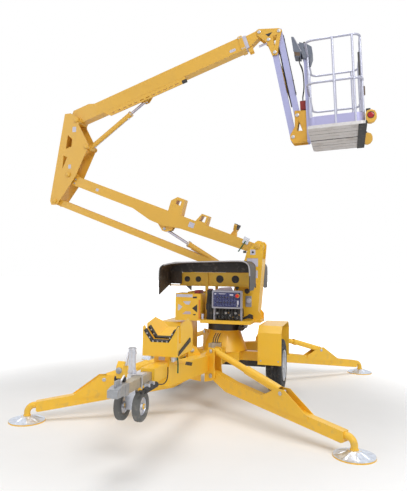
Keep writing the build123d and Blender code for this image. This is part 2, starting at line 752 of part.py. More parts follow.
# Riser: a box beam with eye plates for its lift cylinder and brackets along its top
riser_plane = along(riser_foot, riser_head)
riser_length = span(riser_foot, riser_head)
riser_eye = seen_in(riser_plane, riser_lift_eye)
with BuildPart() as riser:
    box_beam(riser_plane, [
        (-40, 22), (-55, -20), (-30, -70), (97, -113), (1155, -155), (1380, -204), (1615, -195),
        (1920, -124), (riser_length, -122), (riser_length + 45, -60), (riser_length + 45, -10),
        (riser_length, 22),
    ], riser_half_width, riser_wall)
    disc(riser_plane, (0, 0), 62, upright_inner - side_gap)
    disc(riser_plane, (riser_length, 0), 58, knuckle_inner - side_gap)
    plate_pair(riser_plane, [
        (1240, -160), (1255, -225), (riser_eye[0] - 25, riser_eye[1] - 34),
        (riser_eye[0] + 25, riser_eye[1] - 34), (1500, -190), (1500, -160),
    ], eye_gap, eye_plate)
    disc_pair(riser_plane, riser_eye, riser_eye_bore, eye_gap - 1, eye_plate + 2, Mode.SUBTRACT)
    slab(riser_plane, [
        (riser_eye[0] - 190, -240), (riser_eye[0] + 95, -240), (riser_eye[0] + 95, -120),
        (riser_eye[0] - 190, -120),
    ], eye_gap, Mode.SUBTRACT)
    # a tall bracket with a window, an open bracket, and the forked rest for the hose
    for bracket, window in (
        ([(1185, 20), (1215, 252), (1330, 252), (1405, 175), (1395, 20)],
         [(1250, 150), (1250, 215), (1325, 205), (1325, 150)]),
        ([(790, 20), (800, 150), (905, 150), (960, 20)], [(825, 45), (825, 125), (895, 125), (910, 45)]),
    ):
        slab(riser_plane, bracket, riser_half_width - 3)
        slab(riser_plane, window, riser_half_width + 10, Mode.SUBTRACT)
    slab(riser_plane, [(340, 20), (370, 110), (404, 110), (434, 20)], 20)
    fork = Plane(
        origin=riser_plane.from_local_coords((387, 110, 0)), x_dir=riser_plane.z_dir,
        z_dir=-riser_plane.x_dir,
    )
    slab(fork, [
        (-112, 62), (-62, -5), (62, -5), (112, 62), (124, 54), (72, -20), (-72, -20), (-124, 54),
    ], 20)
    disc(riser_plane, (0, 0), main_pin_radius + pin_gap, 200, Mode.SUBTRACT)
    disc(riser_plane, (riser_length, 0), main_pin_radius + pin_gap, 200, Mode.SUBTRACT)
riser.part.label = "riser"
export_step(riser.part, "parts/riser.step")

# Level link: two bars joined near the knuckle, with a boss at each pin
link_plane = along(link_foot, link_head)
link_length = span(link_foot, link_head)
with BuildPart() as level_link:
    plate_pair(link_plane, [
        (-20, -link_half_depth), (link_length + 20, -link_half_depth), (link_length + 45, 0),
        (link_length + 20, link_half_depth), (-20, link_half_depth), (-45, 0),
    ], link_inner, link_thickness)
    for x in (0, link_length):
        disc_pair(link_plane, (x, 0), 40, link_inner, upright_inner - side_gap - link_inner)
    slab(link_plane, [
        (link_length - 500, -40), (link_length - 420, -40), (link_length - 420, 40), (link_length - 500, 40),
    ], link_inner)
    for x in (0, link_length):
        disc(link_plane, (x, 0), link_pin_radius + pin_gap, 200, Mode.SUBTRACT)
level_link.part.label = "level_link"
export_step(level_link.part, "parts/level_link.step")

# Knuckle: two windowed plates that carry the boom and stay level as the riser moves
knuckle_outline = [
    (-2497, 3967), (-2398, 3972), (-2262, 3890), (-2262, 3790), (-2085, 3464), (-2300, 3000), (-2600, 2590),
    (-2690, 2590), (-2714, 2650),
]
with BuildPart() as knuckle:
    plate_pair(boom_plane, knuckle_outline, knuckle_inner, plate)
    for window in (
        [(-2438, 3644), (-2361, 3574), (-2371, 3465), (-2470, 3431)],
        [(-2503, 3338), (-2440, 3300), (-2519, 3128)],
    ):
        plate_pair(boom_plane, window, knuckle_inner - 5, plate + 10, Mode.SUBTRACT)
    slab(boom_plane, [(-2487, 3967), (-2497, 3967), (-2638, 3110), (-2628, 3110)], knuckle_inner)
    for place, radius in (
        (riser_head, main_pin_radius), (link_head, link_pin_radius), (luff_pivot, main_pin_radius),
        (boom_lift_base, lift_pin),
    ):
        disc(boom_plane, place, radius, knuckle_inner + plate + 10)
knuckle.part.label = "knuckle"
export_step(knuckle.part, "parts/knuckle.step")

# Riser lift cylinder
riser_lift_plane = along(riser_lift_base, riser_lift_eye)
cylinder_barrel("riser_barrel", riser_lift_plane, cylinder_radius, riser_barrel_length, cylinder_rod_radius,
                lift_pin, base_eye_half_width)
cylinder_rod("riser_rod", riser_lift_plane, span(riser_lift_base, riser_lift_eye), cylinder_rod_radius,
             riser_rod_length, riser_eye_bore, rod_eye_half_width)

# Main boom: a box beam with cheeks at the pivot and a wear collar at the front
boom_way = (cos(radians(boom_angle)), sin(radians(boom_angle)))
main_plane = along(luff_pivot, (luff_pivot[0] + boom_way[0], luff_pivot[1] + boom_way[1]))
boom_eye = seen_in(main_plane, boom_lift_eye)
collar_start = boom_length - collar_length
with BuildPart() as main_boom:
    slab(main_plane, [
        (boom_back, boom_low), (boom_length, boom_low), (boom_length, boom_high), (330, boom_high),
        (240, boom_high + 34), (boom_back + 30, boom_high + 34), (boom_back, boom_high),
    ], boom_half_width)
    slab(main_plane, [
        (collar_start, boom_low - collar_step), (boom_length, boom_low - collar_step),
        (boom_length, boom_high + collar_step), (collar_start, boom_high + collar_step),
    ], boom_half_width + collar_step)
    slab(main_plane, [
        (90, boom_low + boom_wall), (collar_start, boom_low + boom_wall),
        (collar_start, boom_high - boom_wall), (90, boom_high - boom_wall),
    ], boom_half_width - boom_wall, Mode.SUBTRACT)
    slab(main_plane, [
        (collar_start - 1, fly_low - pin_gap), (boom_length + 10, fly_low - pin_gap),
        (boom_length + 10, fly_high + pin_gap), (collar_start - 1, fly_high + pin_gap),
    ], fly_half_width + pin_gap, Mode.SUBTRACT)
    disc(main_plane, (0, 0), 55, knuckle_inner - side_gap)
    plate_pair(main_plane, [
        (940, boom_low + 2), (boom_eye[0] - 28, boom_eye[1] - 30), (boom_eye[0] + 28, boom_eye[1] - 30),
        (1250, boom_low + 2),
    ], eye_gap, eye_plate)
    disc_pair(main_plane, boom_eye, boom_eye_bore, eye_gap - 1, eye_plate + 2, Mode.SUBTRACT)
    slab(main_plane, [
        (boom_eye[0] - 150, boom_low - 5), (boom_eye[0] + 120, boom_low - 5),
        (boom_eye[0] + 120, boom_low + boom_wall + 1), (boom_eye[0] - 150, boom_low + boom_wall + 1),
    ], eye_gap, Mode.SUBTRACT)
    disc(main_plane, (0, 0), main_pin_radius + pin_gap, 200, Mode.SUBTRACT)
main_boom.part.label = "main_boom"
export_step(main_boom.part, "parts/main_boom.step")

# Slotted cable tray under the near edge of the boom
tray_top = boom_low
tray_low = -130.0
tray_thickness = 24.0
with BuildPart() as cable_tray:
    with BuildSketch(main_plane.offset(boom_half_width - 2)) as tray_side:
        with BuildLine():
            Polyline((430, tray_top), (520, tray_low), (1700, tray_low), (1765, -100), (1765, tray_top),
                     close=True)
        make_face()
        with Locations(*[(x, -105) for x in range(575, 1700, 95)]):
            SlotOverall(58, 14, mode=Mode.SUBTRACT)
    extrude(tray_side.sketch, amount=-tray_thickness)
cable_tray.part.label = "cable_tray"
export_step(cable_tray.part, "parts/cable_tray.step")

# Boom lift cylinder
boom_lift_plane = along(boom_lift_base, boom_lift_eye)
cylinder_barrel("boom_barrel", boom_lift_plane, cylinder_radius, boom_barrel_length, cylinder_rod_radius,
                lift_pin, base_eye_half_width)
cylinder_rod("boom_rod", boom_lift_plane, span(boom_lift_base, boom_lift_eye), cylinder_rod_radius,
             boom_rod_length, boom_eye_bore, rod_eye_half_width)

# Fly boom, sliding in the main boom, with the nose that carries the jib head
fly_front = boom_length + fly_shown
head_spot = (boom_length + head_ahead, head_rise)
head_plane = Plane(
    origin=main_plane.from_local_coords((head_spot[0], head_spot[1], 0)), x_dir=boom_plane.x_dir,
    z_dir=boom_plane.z_dir,
)
fly_pad_low = boom_low + boom_wall + pin_gap
fly_pad_high = boom_high - boom_wall - pin_gap
with BuildPart() as fly_boom:
    slab(main_plane, [
        (fly_back, fly_low), (fly_front, fly_low), (fly_front, fly_high), (fly_back, fly_high),
    ], fly_half_width)
    slab(main_plane, [
        (fly_back, fly_pad_low), (fly_back + 60, fly_pad_low), (fly_back + 60, fly_pad_high),
        (fly_back, fly_pad_high),
    ], boom_half_width - boom_wall - pin_gap)
    slab(main_plane, [
        (fly_back - 10, fly_low + fly_wall), (fly_front - 20, fly_low + fly_wall),
        (fly_front - 20, fly_high - fly_wall), (fly_back - 10, fly_high - fly_wall),
    ], fly_half_width - fly_wall, Mode.SUBTRACT)
    slab(main_plane, [
        (fly_front - 1, fly_low + 10), (head_spot[0] + 10, head_spot[1] - 42),
        (head_spot[0] + 38, head_spot[1] - 15), (head_spot[0] + 38, head_spot[1] + 15),
        (head_spot[0] + 10, head_spot[1] + 42), (fly_front - 1, fly_high),
    ], fly_half_width)
    plate_pair(main_plane, [
        (fly_front - 70, fly_low + 2), (fly_front - 60, -105), (fly_front, -105), (fly_front, fly_low + 2),
    ], eye_gap, eye_plate)
    disc(main_plane, head_spot, head_pin_radius + pin_gap, 200, Mode.SUBTRACT)
fly_boom.part.label = "fly_boom"
export_step(fly_boom.part, "parts/fly_boom.step")

# Jib head: two windowed plates that stay level as the boom rises
with BuildPart() as jib_head:
    plate_pair(head_plane, [
        (-37, 33), (-5, 45), (arm_upper_pin[0], 25), (arm_upper_pin[0] + 43, arm_upper_pin[1] + 10),
        (arm_upper_pin[0] + 27, arm_upper_pin[1] - 50), (arm_lower_pin[0] + 33, arm_lower_pin[1] - 38),
        (arm_lower_pin[0] - 32, arm_lower_pin[1] - 38), (105, -150), (-30, -40),
    ], head_inner, head_plate)
    plate_pair(head_plane, [(185, -75), (245, -60), (213, -225)], head_inner - 5, head_plate + 10,
               Mode.SUBTRACT)
    for place, radius in (
        ((0, 0), head_pin_radius), (level_lug, level_pin_radius), (arm_upper_pin, head_pin_radius),
        (arm_lower_pin, head_pin_radius),
    ):
        disc(head_plane, place, radius, head_inner + head_plate + 6)
jib_head.part.label = "jib_head"
export_step(jib_head.part, "parts/jib_head.step")

# Rod of the levelling cylinder, from the jib head back under the fly's nose
level_plane = along(level_lug, (level_lug[0] - boom_way[0], level_lug[1] - boom_way[1]), head_plane)
with BuildPart() as level_rod:
    with Locations(level_plane.location * Location((level_pin_radius + 6, 0, 0), (0, 90, 0))):
        Cylinder(level_rod_radius, level_rod_length, align=upward)
    disc(level_plane, (0, 0), level_pin_radius + 12, eye_gap)
    disc(level_plane, (0, 0), level_pin_radius + pin_gap, eye_gap + 10, Mode.SUBTRACT)
level_rod.part.label = "level_rod"
export_step(level_rod.part, "parts/level_rod.step")

# Jib: two parallel channels, back to back, with the jib cylinder between them
arm_step = (arm_length * cos(radians(arm_angle)), arm_length * sin(radians(arm_angle)))
platform_upper_pin = (arm_upper_pin[0] + arm_step[0], arm_upper_pin[1] + arm_step[1])
platform_lower_pin = (arm_lower_pin[0] + arm_step[0], arm_lower_pin[1] + arm_step[1])
arm_boss = head_inner - side_gap - arm_half_width
for name, start, end, web_side in (
    ("jib_upper_arm", arm_upper_pin, platform_upper_pin, 1),
    ("jib_lower_arm", arm_lower_pin, platform_lower_pin, -1),
):
    arm_plane = along(start, end, head_plane)
    with BuildPart() as arm:
        slab(arm_plane, [
            (-34, -arm_half_depth), (arm_length + 34, -arm_half_depth), (arm_length + 34, arm_half_depth),
            (-34, arm_half_depth),
        ], arm_half_width)
        slab(arm_plane, [
            (-60, -web_side * (arm_half_depth + 10)), (arm_length + 60, -web_side * (arm_half_depth + 10)),
            (arm_length + 60, web_side * (arm_half_depth - arm_wall)),
            (-60, web_side * (arm_half_depth - arm_wall)),
        ], arm_half_width - arm_wall, Mode.SUBTRACT)
        for x in (0, arm_length):
            disc_pair(arm_plane, (x, 0), 30, arm_half_width, arm_boss)
            disc(arm_plane, (x, 0), head_pin_radius + pin_gap, 200, Mode.SUBTRACT)
    arm.part.label = name
    export_step(arm.part, f"parts/{name}.step")

jib_lift_plane = along(arm_lower_pin, platform_upper_pin, head_plane)
jib_reach = span(arm_lower_pin, platform_upper_pin)
cylinder_barrel("jib_barrel", jib_lift_plane, jib_barrel_radius, jib_reach - jib_rod_shown, jib_rod_radius,
                head_pin_radius, jib_eye_half_width, jib_eye_wall)
cylinder_rod("jib_rod", jib_lift_plane, jib_reach, jib_rod_radius, jib_reach - jib_rod_start, jib_eye_bore,
             jib_eye_half_width, jib_rod_eye_wall)

# The platform's own frame, and the bracket and mast that carry it on the jib
carrier_plane = moved(head_plane, platform_upper_pin)
lower_pin = (platform_lower_pin[0] - platform_upper_pin[0], platform_lower_pin[1] - platform_upper_pin[1])
platform_ahead = mast_ahead + mast_depth + platform_half_length
deck = Plane(
    origin=carrier_plane.from_local_coords((platform_ahead, -platform_drop, 0)),
    x_dir=(cos(radians(platform_lean)), 0, sin(radians(platform_lean))),
    z_dir=(-sin(radians(platform_lean)), 0, cos(radians(platform_lean))),
)
mast_back = -platform_half_length - mast_depth
with BuildPart(deck) as platform_bracket:
    plate_pair(carrier_plane, [
        (-35, 65), (mast_ahead - 15, 59), (mast_ahead + 5, -150), (mast_ahead + 30, -platform_drop - 10),
        (mast_ahead + 25, -platform_drop - 37), (lower_pin[0] + 6, -platform_drop - 47),
        (lower_pin[0] - 38, lower_pin[1] - 30), (lower_pin[0] - 38, lower_pin[1] + 30), (-31, -150),
    ], head_inner, head_plate)
    plate_pair(carrier_plane, [(19, -70), (74, -210), (-1, -210)], head_inner - 5, head_plate + 10,
               Mode.SUBTRACT)
    block((mast_back, -platform_half_length), (-mast_half_width, mast_half_width), (-5, mast_top))
    disc(carrier_plane, lower_pin, head_pin_radius, head_inner + head_plate + 6)
    disc_pair(carrier_plane, (0, 0), head_pin_radius, arm_half_width - 10,
              head_inner + head_plate + 16 - arm_half_width)
platform_bracket.part.label = "platform_bracket"
export_step(platform_bracket.part, "parts/platform_bracket.step")

with BuildPart(deck) as platform_deck:
    block((-platform_half_length, platform_half_length), (-platform_half_width, platform_half_width),
          (0, platform_floor))
    for index in range(plank_count):
        x = (index - (plank_count - 1) / 2) * 2 * platform_half_length / plank_count
        block((x - plank_rib, x + plank_rib), (-platform_half_width + 20, platform_half_width - 20),
              (-1, 14), Mode.SUBTRACT)
platform_deck.part.label = "platform_deck"
export_step(platform_deck.part, "parts/platform_deck.step")

# Guard rails: posts, middle and top rails, and toe boards, open at the gate
rail_x = platform_half_length - rail_radius
rail_y = platform_half_width - rail_radius
rail_top = platform_height - rail_radius
gate_post_y = gate_half_width + rail_radius + side_gap
posts = [
    (-rail_x, -rail_y), (-rail_x, 0), (-rail_x, rail_y), (0, -rail_y), (0, rail_y), (rail_x, -rail_y),
    (rail_x, rail_y), (rail_x, -gate_post_y), (rail_x, gate_post_y),
]
rail_gap = gate_post_y - 14
with BuildPart(deck) as platform_rails:
    with Locations(*[(x, y, platform_floor) for x, y in posts]):
        Cylinder(post_tube, rail_top - platform_floor, align=upward)
    for z in (platform_middle, rail_top):
        for y in (-rail_y, rail_y):
            with Locations(Location((0, y, z), (0, 90, 0))):
                Cylinder(end_rail, 2 * rail_x)
        with Locations(Location((-rail_x, 0, z), (90, 0, 0))):
            Cylinder(rail_radius, 2 * platform_half_width)
        for side in (-1, 1):
            with Locations(Location((rail_x, side * (platform_half_width + rail_gap) / 2, z), (90, 0, 0))):
                Cylinder(rail_radius, platform_half_width - rail_gap)
    block((-rail_x - toe_wall / 2, -rail_x + toe_wall / 2), (-rail_y, rail_y), (platform_floor, toe_height))
    for side in (-1, 1):
        block((-rail_x, rail_x), (side * rail_y - toe_wall / 2, side * rail_y + toe_wall / 2),
              (platform_floor, toe_height))
        block((rail_x - toe_wall / 2, rail_x + toe_wall / 2), (side * gate_post_y, side * rail_y),
              (platform_floor, toe_height))
platform_rails.part.label = "platform_rails"
export_step(platform_rails.part, "parts/platform_rails.step")

# Gate, turning on rings round its post and opening into the platform
gate_tube_y = gate_half_width - rail_radius
with BuildPart(deck) as gate:
    for y in (-gate_tube_y, gate_tube_y):
        with Locations((rail_x, y, gate_low)):
            Cylinder(post_tube, gate_height - rail_radius - gate_low, align=upward)
    for z in (platform_middle, gate_height - rail_radius):
        with Locations(Location((rail_x, 0, z), (90, 0, 0))):
            Cylinder(rail_radius, 2 * gate_half_width)
    block((rail_x - toe_wall / 2, rail_x + toe_wall / 2), (-gate_tube_y, gate_tube_y), (gate_low, toe_height))
    for z in (260, 880):
        with Locations((rail_x, -gate_post_y, z)):
            Cylinder(post_tube + 7, 36)
        block((rail_x - 6, rail_x + 6), (-gate_post_y, -gate_tube_y), (z - 14, z + 14))
        with Locations((rail_x, -gate_post_y, z)):
            Cylinder(post_tube + pin_gap, 60, mode=Mode.SUBTRACT)
gate.part.label = "gate"
export_step(gate.part, "parts/gate.step")

# Platform control box above the mast, and the valve block lower on it
control_y = (-control_half_width, control_half_width)
control_top = mast_top + control_high
with BuildPart(deck) as platform_control:
    block((mast_back - control_back, mast_back), control_y, (mast_top - control_low, control_top))
    block((mast_back - 1, mast_back + control_front), control_y, (mast_top, control_top))
    slab(deck.rotated((90, 0, 0)), [
        (mast_back - 19, control_top + 12), (mast_back + control_front + 7, control_top + 12),
        (mast_back + control_front + 7, control_top - 148),
    ], control_half_width + 10, Mode.SUBTRACT)
platform_control.part.label = "platform_control"
export_step(platform_control.part, "parts/platform_control.step")

with BuildPart(deck) as valve_block:
    block((mast_back - 77, mast_back), (-50, 50), (430, 550))
valve_block.part.label = "valve_block"
export_step(valve_block.part, "parts/valve_block.step")

lamp_face = Plane(
    origin=deck.from_local_coords((rail_x + toe_wall / 2, 0, 0)), x_dir=deck.y_dir, z_dir=deck.x_dir
)
with BuildPart() as tail_lamps:
    for side in (-1, 1):
        with BuildSketch(lamp_face) as lamp:
            with Locations((side * (platform_half_width - lamp_inset), lamp_z)):
                Circle(lamp_radius)
        extrude(lamp.sketch, amount=lamp_depth)
tail_lamps.part.label = "tail_lamps"
export_step(tail_lamps.part, "parts/tail_lamps.step")
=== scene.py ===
"""Looks of the towable boom lift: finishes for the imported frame, and the fittings round it.

Every piece is worked out in millimetres in a local basis, and placed in metres in the row frame.
"""

from __future__ import annotations

import logging
from dataclasses import dataclass, field
from enum import Enum
from math import cos, pi, radians, sin

import bmesh
import bpy
import numpy as np
from mathutils import Matrix

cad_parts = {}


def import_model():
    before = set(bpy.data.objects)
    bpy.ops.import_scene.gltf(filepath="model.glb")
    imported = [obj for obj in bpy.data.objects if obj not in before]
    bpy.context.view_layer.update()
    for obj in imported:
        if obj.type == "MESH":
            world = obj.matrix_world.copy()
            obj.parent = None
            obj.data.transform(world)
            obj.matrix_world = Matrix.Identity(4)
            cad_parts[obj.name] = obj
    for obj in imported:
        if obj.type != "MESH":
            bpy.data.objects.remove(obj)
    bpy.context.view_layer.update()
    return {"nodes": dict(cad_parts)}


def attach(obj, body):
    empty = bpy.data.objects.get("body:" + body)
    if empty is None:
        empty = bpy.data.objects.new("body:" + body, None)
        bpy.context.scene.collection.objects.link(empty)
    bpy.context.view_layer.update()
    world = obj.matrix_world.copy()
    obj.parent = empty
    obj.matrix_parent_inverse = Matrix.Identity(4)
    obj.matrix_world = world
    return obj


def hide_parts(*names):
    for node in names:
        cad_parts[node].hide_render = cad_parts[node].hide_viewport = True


log = logging.getLogger("boom_lift")

SLEW = np.array([0.3616, 0.7127, 0.0])
# Millimetres in a metre, steps round a turned piece, the two faces across Y, and a wide pin cap's shape
MILLIS = 1000
SIDES = 32
BOTH = ((-1, "-y"), (1, "+y"))
WIDE_CAP = [(9, -1), (9, 5), (4, 8), (3, 8.5)]


class Material(Enum):
    """The record's material slots, named by finishes and pieces."""

    YELLOW = "yellow_paint"
    ORANGE = "orange_paint"
    GREY = "grey_paint"
    BLACK = "black_paint"
    HOOD = "hood_paint"
    BLUE = "blue_panel"
    GALVANISED = "galvanised"
    STEEL = "bare_steel"
    ALUMINIUM = "jib_aluminium"
    PAD = "pad_rubber"
    TYRE = "tyre_rubber"
    JOCKEY = "jockey_rubber"
    BATTERY = "battery_case"
    BOX = "grey_box"
    LENS = "lamp_lens"


# ---- shader building ----------------------------------------------------------------------------


class Wire:
    """One number socket, on which Python's operators build Math nodes."""

    def __init__(self, shader: "Nodes", socket: bpy.types.NodeSocket) -> None:
        """Keeps the socket and the tree it belongs to."""
        self.shader = shader
        self.socket = socket

    def __add__(self, other: "Wire | float") -> "Wire":
        """The sum."""
        return self.shader.maths("ADD", self, other)

    def __sub__(self, other: "Wire | float") -> "Wire":
        """The difference."""
        return self.shader.maths("SUBTRACT", self, other)

    def __rsub__(self, other: float) -> "Wire":
        """The difference from a number on the left."""
        return self.shader.maths("SUBTRACT", other, self)

    def __mul__(self, other: "Wire | float") -> "Wire":
        """The product."""
        return self.shader.maths("MULTIPLY", self, other)

    def between(self, low: float, high: float) -> "Wire":
        """A smooth step from 0 at low to 1 at high.

        Args:
            low: Value where the step starts.
            high: Value where the step ends.

        Returns:
            The stepped wire.
        """
        node = self.shader.node("MapRange", {"Value": self, "From Min": low, "From Max": high},
                                interpolation_type="SMOOTHSTEP")
        return Wire(self.shader, node.outputs["Result"])


class Nodes:
    """A node tree under construction."""

    def __init__(self, tree: bpy.types.NodeTree) -> None:
        """Clears the tree."""
        self.tree = tree
        tree.nodes.clear()

    def put(self, node: bpy.types.Node, values: dict) -> bpy.types.Node:
        """Links wires or sockets into a node's inputs, or sets their values.

        Args:
            node: The node.
            values: Values or links by socket name or number.

        Returns:
            The node.
        """
        for key, value in values.items():
            value = value.socket if isinstance(value, Wire) else value
            if isinstance(value, bpy.types.NodeSocket):
                self.tree.links.new(value, node.inputs[key])
            else:
                node.inputs[key].default_value = value
        return node

    def node(self, kind: str, inputs: dict | None = None, **settings: str) -> bpy.types.Node:
        """Adds any node.

        Args:
            kind: Blender's name of the node type, after ShaderNode.
            inputs: Values or links by socket name or number.
            settings: The node's own settings, set first.

        Returns:
            The node.
        """
        node = self.tree.nodes.new(f"ShaderNode{kind}")
        for key, value in settings.items():
            setattr(node, key, value)
        return self.put(node, inputs or {})

    def maths(self, operation: str, first: Wire | float, second: Wire | float) -> Wire:
        """A Math node of two values."""
        return Wire(self, self.node("Math", {0: first, 1: second}, operation=operation).outputs[0])

    def rays(self, *kinds: str) -> Wire:
        """1 for the named kinds of ray, such as Is Camera Ray, and 0 for others."""
        path = self.node("LightPath")
        seen = Wire(self, path.outputs[kinds[0]])
        for kind in kinds[1:]:
            seen = self.maths("MAXIMUM", seen, Wire(self, path.outputs[kind]))
        return seen


class Shader(Nodes):
    """A node material under construction, with a Principled surface."""

    def __init__(self, name: str) -> None:
        """Starts the material with its surface and object coordinates."""
        self.material = bpy.data.materials.new(name)
        self.material.use_nodes = True
        super().__init__(self.material.node_tree)
        self.surface = self.node("BsdfPrincipled")
        self.node("OutputMaterial", {"Surface": self.surface.outputs[0]})
        self.place = self.node("TexCoord").outputs["Object"]

    def noise(self, scale: float, detail: float = 3.0, stretch: tuple = (1, 1, 1)) -> Wire:
        """Soft noise of a scale per metre, stretched along an axis by a smaller factor there."""
        spot = self.node("Mapping", {"Vector": self.place, "Scale": stretch}).outputs[0]
        values = {"Vector": spot, "Scale": scale, "Detail": detail, "Roughness": 0.55}
        return Wire(self, self.node("TexNoise", values).outputs["Fac"])

    def cells(self, scale: float) -> Wire:
        """A random shade for each cell of a crystal-like pattern."""
        node = self.node("TexVoronoi", {"Vector": self.place, "Scale": scale})
        return Wire(self, self.node("SeparateColor", {0: node.outputs["Color"]}).outputs[0])

    def along(self, axis: tuple, start: float) -> Wire:
        """How far a point lies past start along an axis of the row frame, in metres."""
        node = self.node("VectorMath", {0: self.place, 1: axis}, operation="DOT_PRODUCT")
        return Wire(self, node.outputs["Value"]) - start

    def blend(self, mask: Wire | float, low: object, high: object) -> bpy.types.NodeSocket:
        """A colour between low and high, by a mask."""
        return self.node("Mix", {0: mask, 6: low, 7: high}, data_type="RGBA").outputs[2]

    def drifting(self, wave: Wire | float, colour: tuple, spread: tuple) -> bpy.types.NodeSocket:
        """The colour, varied between two shares of its brightness."""
        return self.blend(wave, shade(colour, spread[0]), shade(colour, spread[1]))

    def finish(self, values: dict, height: Wire, strength: float, depth: float) -> bpy.types.Material:
        """Fills in the surface, with a height in metres fed to its normal.

        Args:
            values: Values or links by the surface's input names.
            height: The bump's height.
            strength: Its strength.
            depth: Its distance in metres.

        Returns:
            The finished material.
        """
        bump = self.node("Bump", {"Height": height, "Strength": strength, "Distance": depth})
        self.put(self.surface, {**values, "Normal": bump.outputs[0]})
        return self.material


def shade(colour: tuple, factor: float) -> tuple:
    """The colour made darker or lighter, with full alpha."""
    return tuple(min(1.0, channel * factor) for channel in colour[:3]) + (1.0,)


# ---- finishes ------------------------------------------------------------------------------------


@dataclass(frozen=True)
class Paint:
    """Gloss paint on steel: slight colour drift, orange peel, chips and dust on what lies low."""

    name: str
    colour: tuple
    gloss: float = 0.32
    chips: float = 0.5
    dust: float = 0.5
    slot: Material = Material.YELLOW

    def make(self) -> bpy.types.Material:
        """Builds the material."""
        shader = Shader(self.name)
        drift = shader.noise(1.7, 4)
        streaks = shader.noise(9, 5, (1, 1, 0.12)).between(0.45, 0.85)
        low = 1 - shader.along((0, 0, 1), 0).between(0.0, 0.75)
        grime = shader.noise(14, 6).between(0.50, 0.72) * low * (0.55 * self.dust)
        chipped = shader.noise(26, 8).between(0.735 - 0.02 * self.chips, 0.745) * self.chips
        paint = shader.drifting(drift, self.colour, (0.93, 1.05))
        for mask, over in ((streaks * (0.18 * self.dust), (0.42, 0.33, 0.20)), (grime, (0.30, 0.24, 0.17)),
                           (chipped, (0.12, 0.10, 0.09))):
            paint = shader.blend(mask, paint, shade(over, 1))
        rough = drift * 0.10 + grime * 0.4 + self.gloss
        values = {"Base Color": paint, "Roughness": rough, "Coat Weight": 0.15}
        return shader.finish(values, shader.noise(240, 2) - chipped * 0.8, 0.10, 0.002)


@dataclass(frozen=True)
class Metal:
    """Bare metal with a brushed grain, stains and, where it is zinc-dipped, a crystal pattern."""

    name: str
    colour: tuple
    roughness: float = 0.35
    spangle: float = 0.0
    stain: float = 0.3
    metallic: float = 1.0
    grain: tuple = (1, 1, 0.05)
    slot: Material = Material.STEEL

    def make(self) -> bpy.types.Material:
        """Builds the material."""
        shader = Shader(self.name)
        grain = shader.noise(160, 4, self.grain)
        cells = shader.cells(55) * self.spangle
        stain = shader.noise(7, 6).between(0.48, 0.80) * self.stain
        tone = shader.drifting(cells, self.colour, (0.92, 1.16))
        metal = shader.blend(stain, tone, shade((0.30, 0.25, 0.20), 1))
        rough = grain * 0.12 + cells * 0.12 + stain * 0.3 + self.roughness
        values = {"Base Color": metal, "Metallic": self.metallic, "Roughness": rough}
        return shader.finish(values, grain, 0.06, 0.001)


@dataclass(frozen=True)
class Rubber:
    """Rubber or moulded plastic: fine grain, scuffs and pale dust."""

    name: str
    colour: tuple
    roughness: float = 0.7
    dust: float = 0.3
    grain: float = 300.0
    slot: Material = Material.PAD

    def make(self) -> bpy.types.Material:
        """Builds the material."""
        shader = Shader(self.name)
        scuff = shader.noise(18, 6).between(0.50, 0.78) * self.dust
        body = shader.drifting(shader.noise(4, 3), self.colour, (0.85, 1.15))
        values = {"Base Color": shader.blend(scuff, body, shade((0.34, 0.31, 0.27), 1)),
                  "Roughness": scuff * 0.25 + self.roughness}
        return shader.finish(values, shader.noise(self.grain, 3), 0.15, 0.001)


@dataclass(frozen=True)
class TwoPart:
    """Painted plate on one side of a plane, and pale extruded aluminium on its other side."""

    name: str
    colour: tuple
    other: tuple
    axis: tuple
    start: float

    def make(self) -> bpy.types.Material:
        """Builds the material."""
        shader = Shader(self.name)
        side = shader.along(self.axis, self.start).between(-0.0005, 0.0005)
        drift = shader.noise(2.1, 4)
        both = shader.blend(side, shader.drifting(drift, self.colour, (0.93, 1.05)),
                            shader.drifting(drift, self.other, (0.94, 1.06)))
        values = {"Base Color": both, "Metallic": side * 0.55, "Roughness": drift * 0.15 + 0.30}
        return shader.finish(values, shader.noise(180, 3, (1, 1, 0.06)), 0.06, 0.001)


Finish = Paint | Metal | Rubber | TwoPart

YELLOW = Paint("yellow_gloss", (0.92, 0.54, 0.035))
BOOM_YELLOW = Paint("boom_yellow_gloss", (0.79, 0.45, 0.060), chips=0.3, dust=0.3)
HOOD_SHELL = Rubber("hood_shell", (0.034, 0.028, 0.026), 0.45, 0.3, 160)
BLACK = Paint("black_gloss", (0.018, 0.018, 0.020), gloss=0.38, chips=0.2, dust=0.7, slot=Material.BLACK)
# Dark moulding; the same finish also serves as painted shade on thin sheets in gaps and openings.
DARK = Rubber("dark_moulding_and_shade", (0.030, 0.026, 0.024), 0.6, 0.25)
LINER = Rubber("hood_liner", (0.050, 0.032, 0.020), 0.62, 0.35, 120, slot=Material.HOOD)
# Pale grey for the top of the hoods' dark open edges: a painted highlight, where the edge catches the light.
HOOD_EDGE_HIGHLIGHT = Paint("painted_highlight_edge", (0.42, 0.41, 0.43), gloss=0.42, chips=0.2, dust=0.6, slot=Material.GREY)
WHEEL_GREY = Paint("wheel_grey", (0.62, 0.63, 0.66), gloss=0.34, chips=0.4, dust=0.9, slot=Material.GREY)
PANEL_BLUE = Paint("panel_blue", (0.014, 0.018, 0.10), gloss=0.35, chips=0.1, dust=0.2, slot=Material.BLUE)
FRAME_GREY = Paint("frame_grey", (0.36, 0.36, 0.42), gloss=0.40, chips=0.1, dust=0.3, slot=Material.BOX)
BOX_GREY = Rubber("box_grey", (0.16, 0.18, 0.23), 0.5, 0.2, slot=Material.BOX)
BOX_BROWN = Rubber("box_brown", (0.13, 0.085, 0.055), 0.6, 0.3, slot=Material.BOX)
BATTERY_TOP = Rubber("battery_top", (0.17, 0.075, 0.030), 0.6, 0.4, slot=Material.BATTERY)
BATTERY_RED = Rubber("battery_red", (0.30, 0.025, 0.02), 0.45, 0.25, slot=Material.BATTERY)
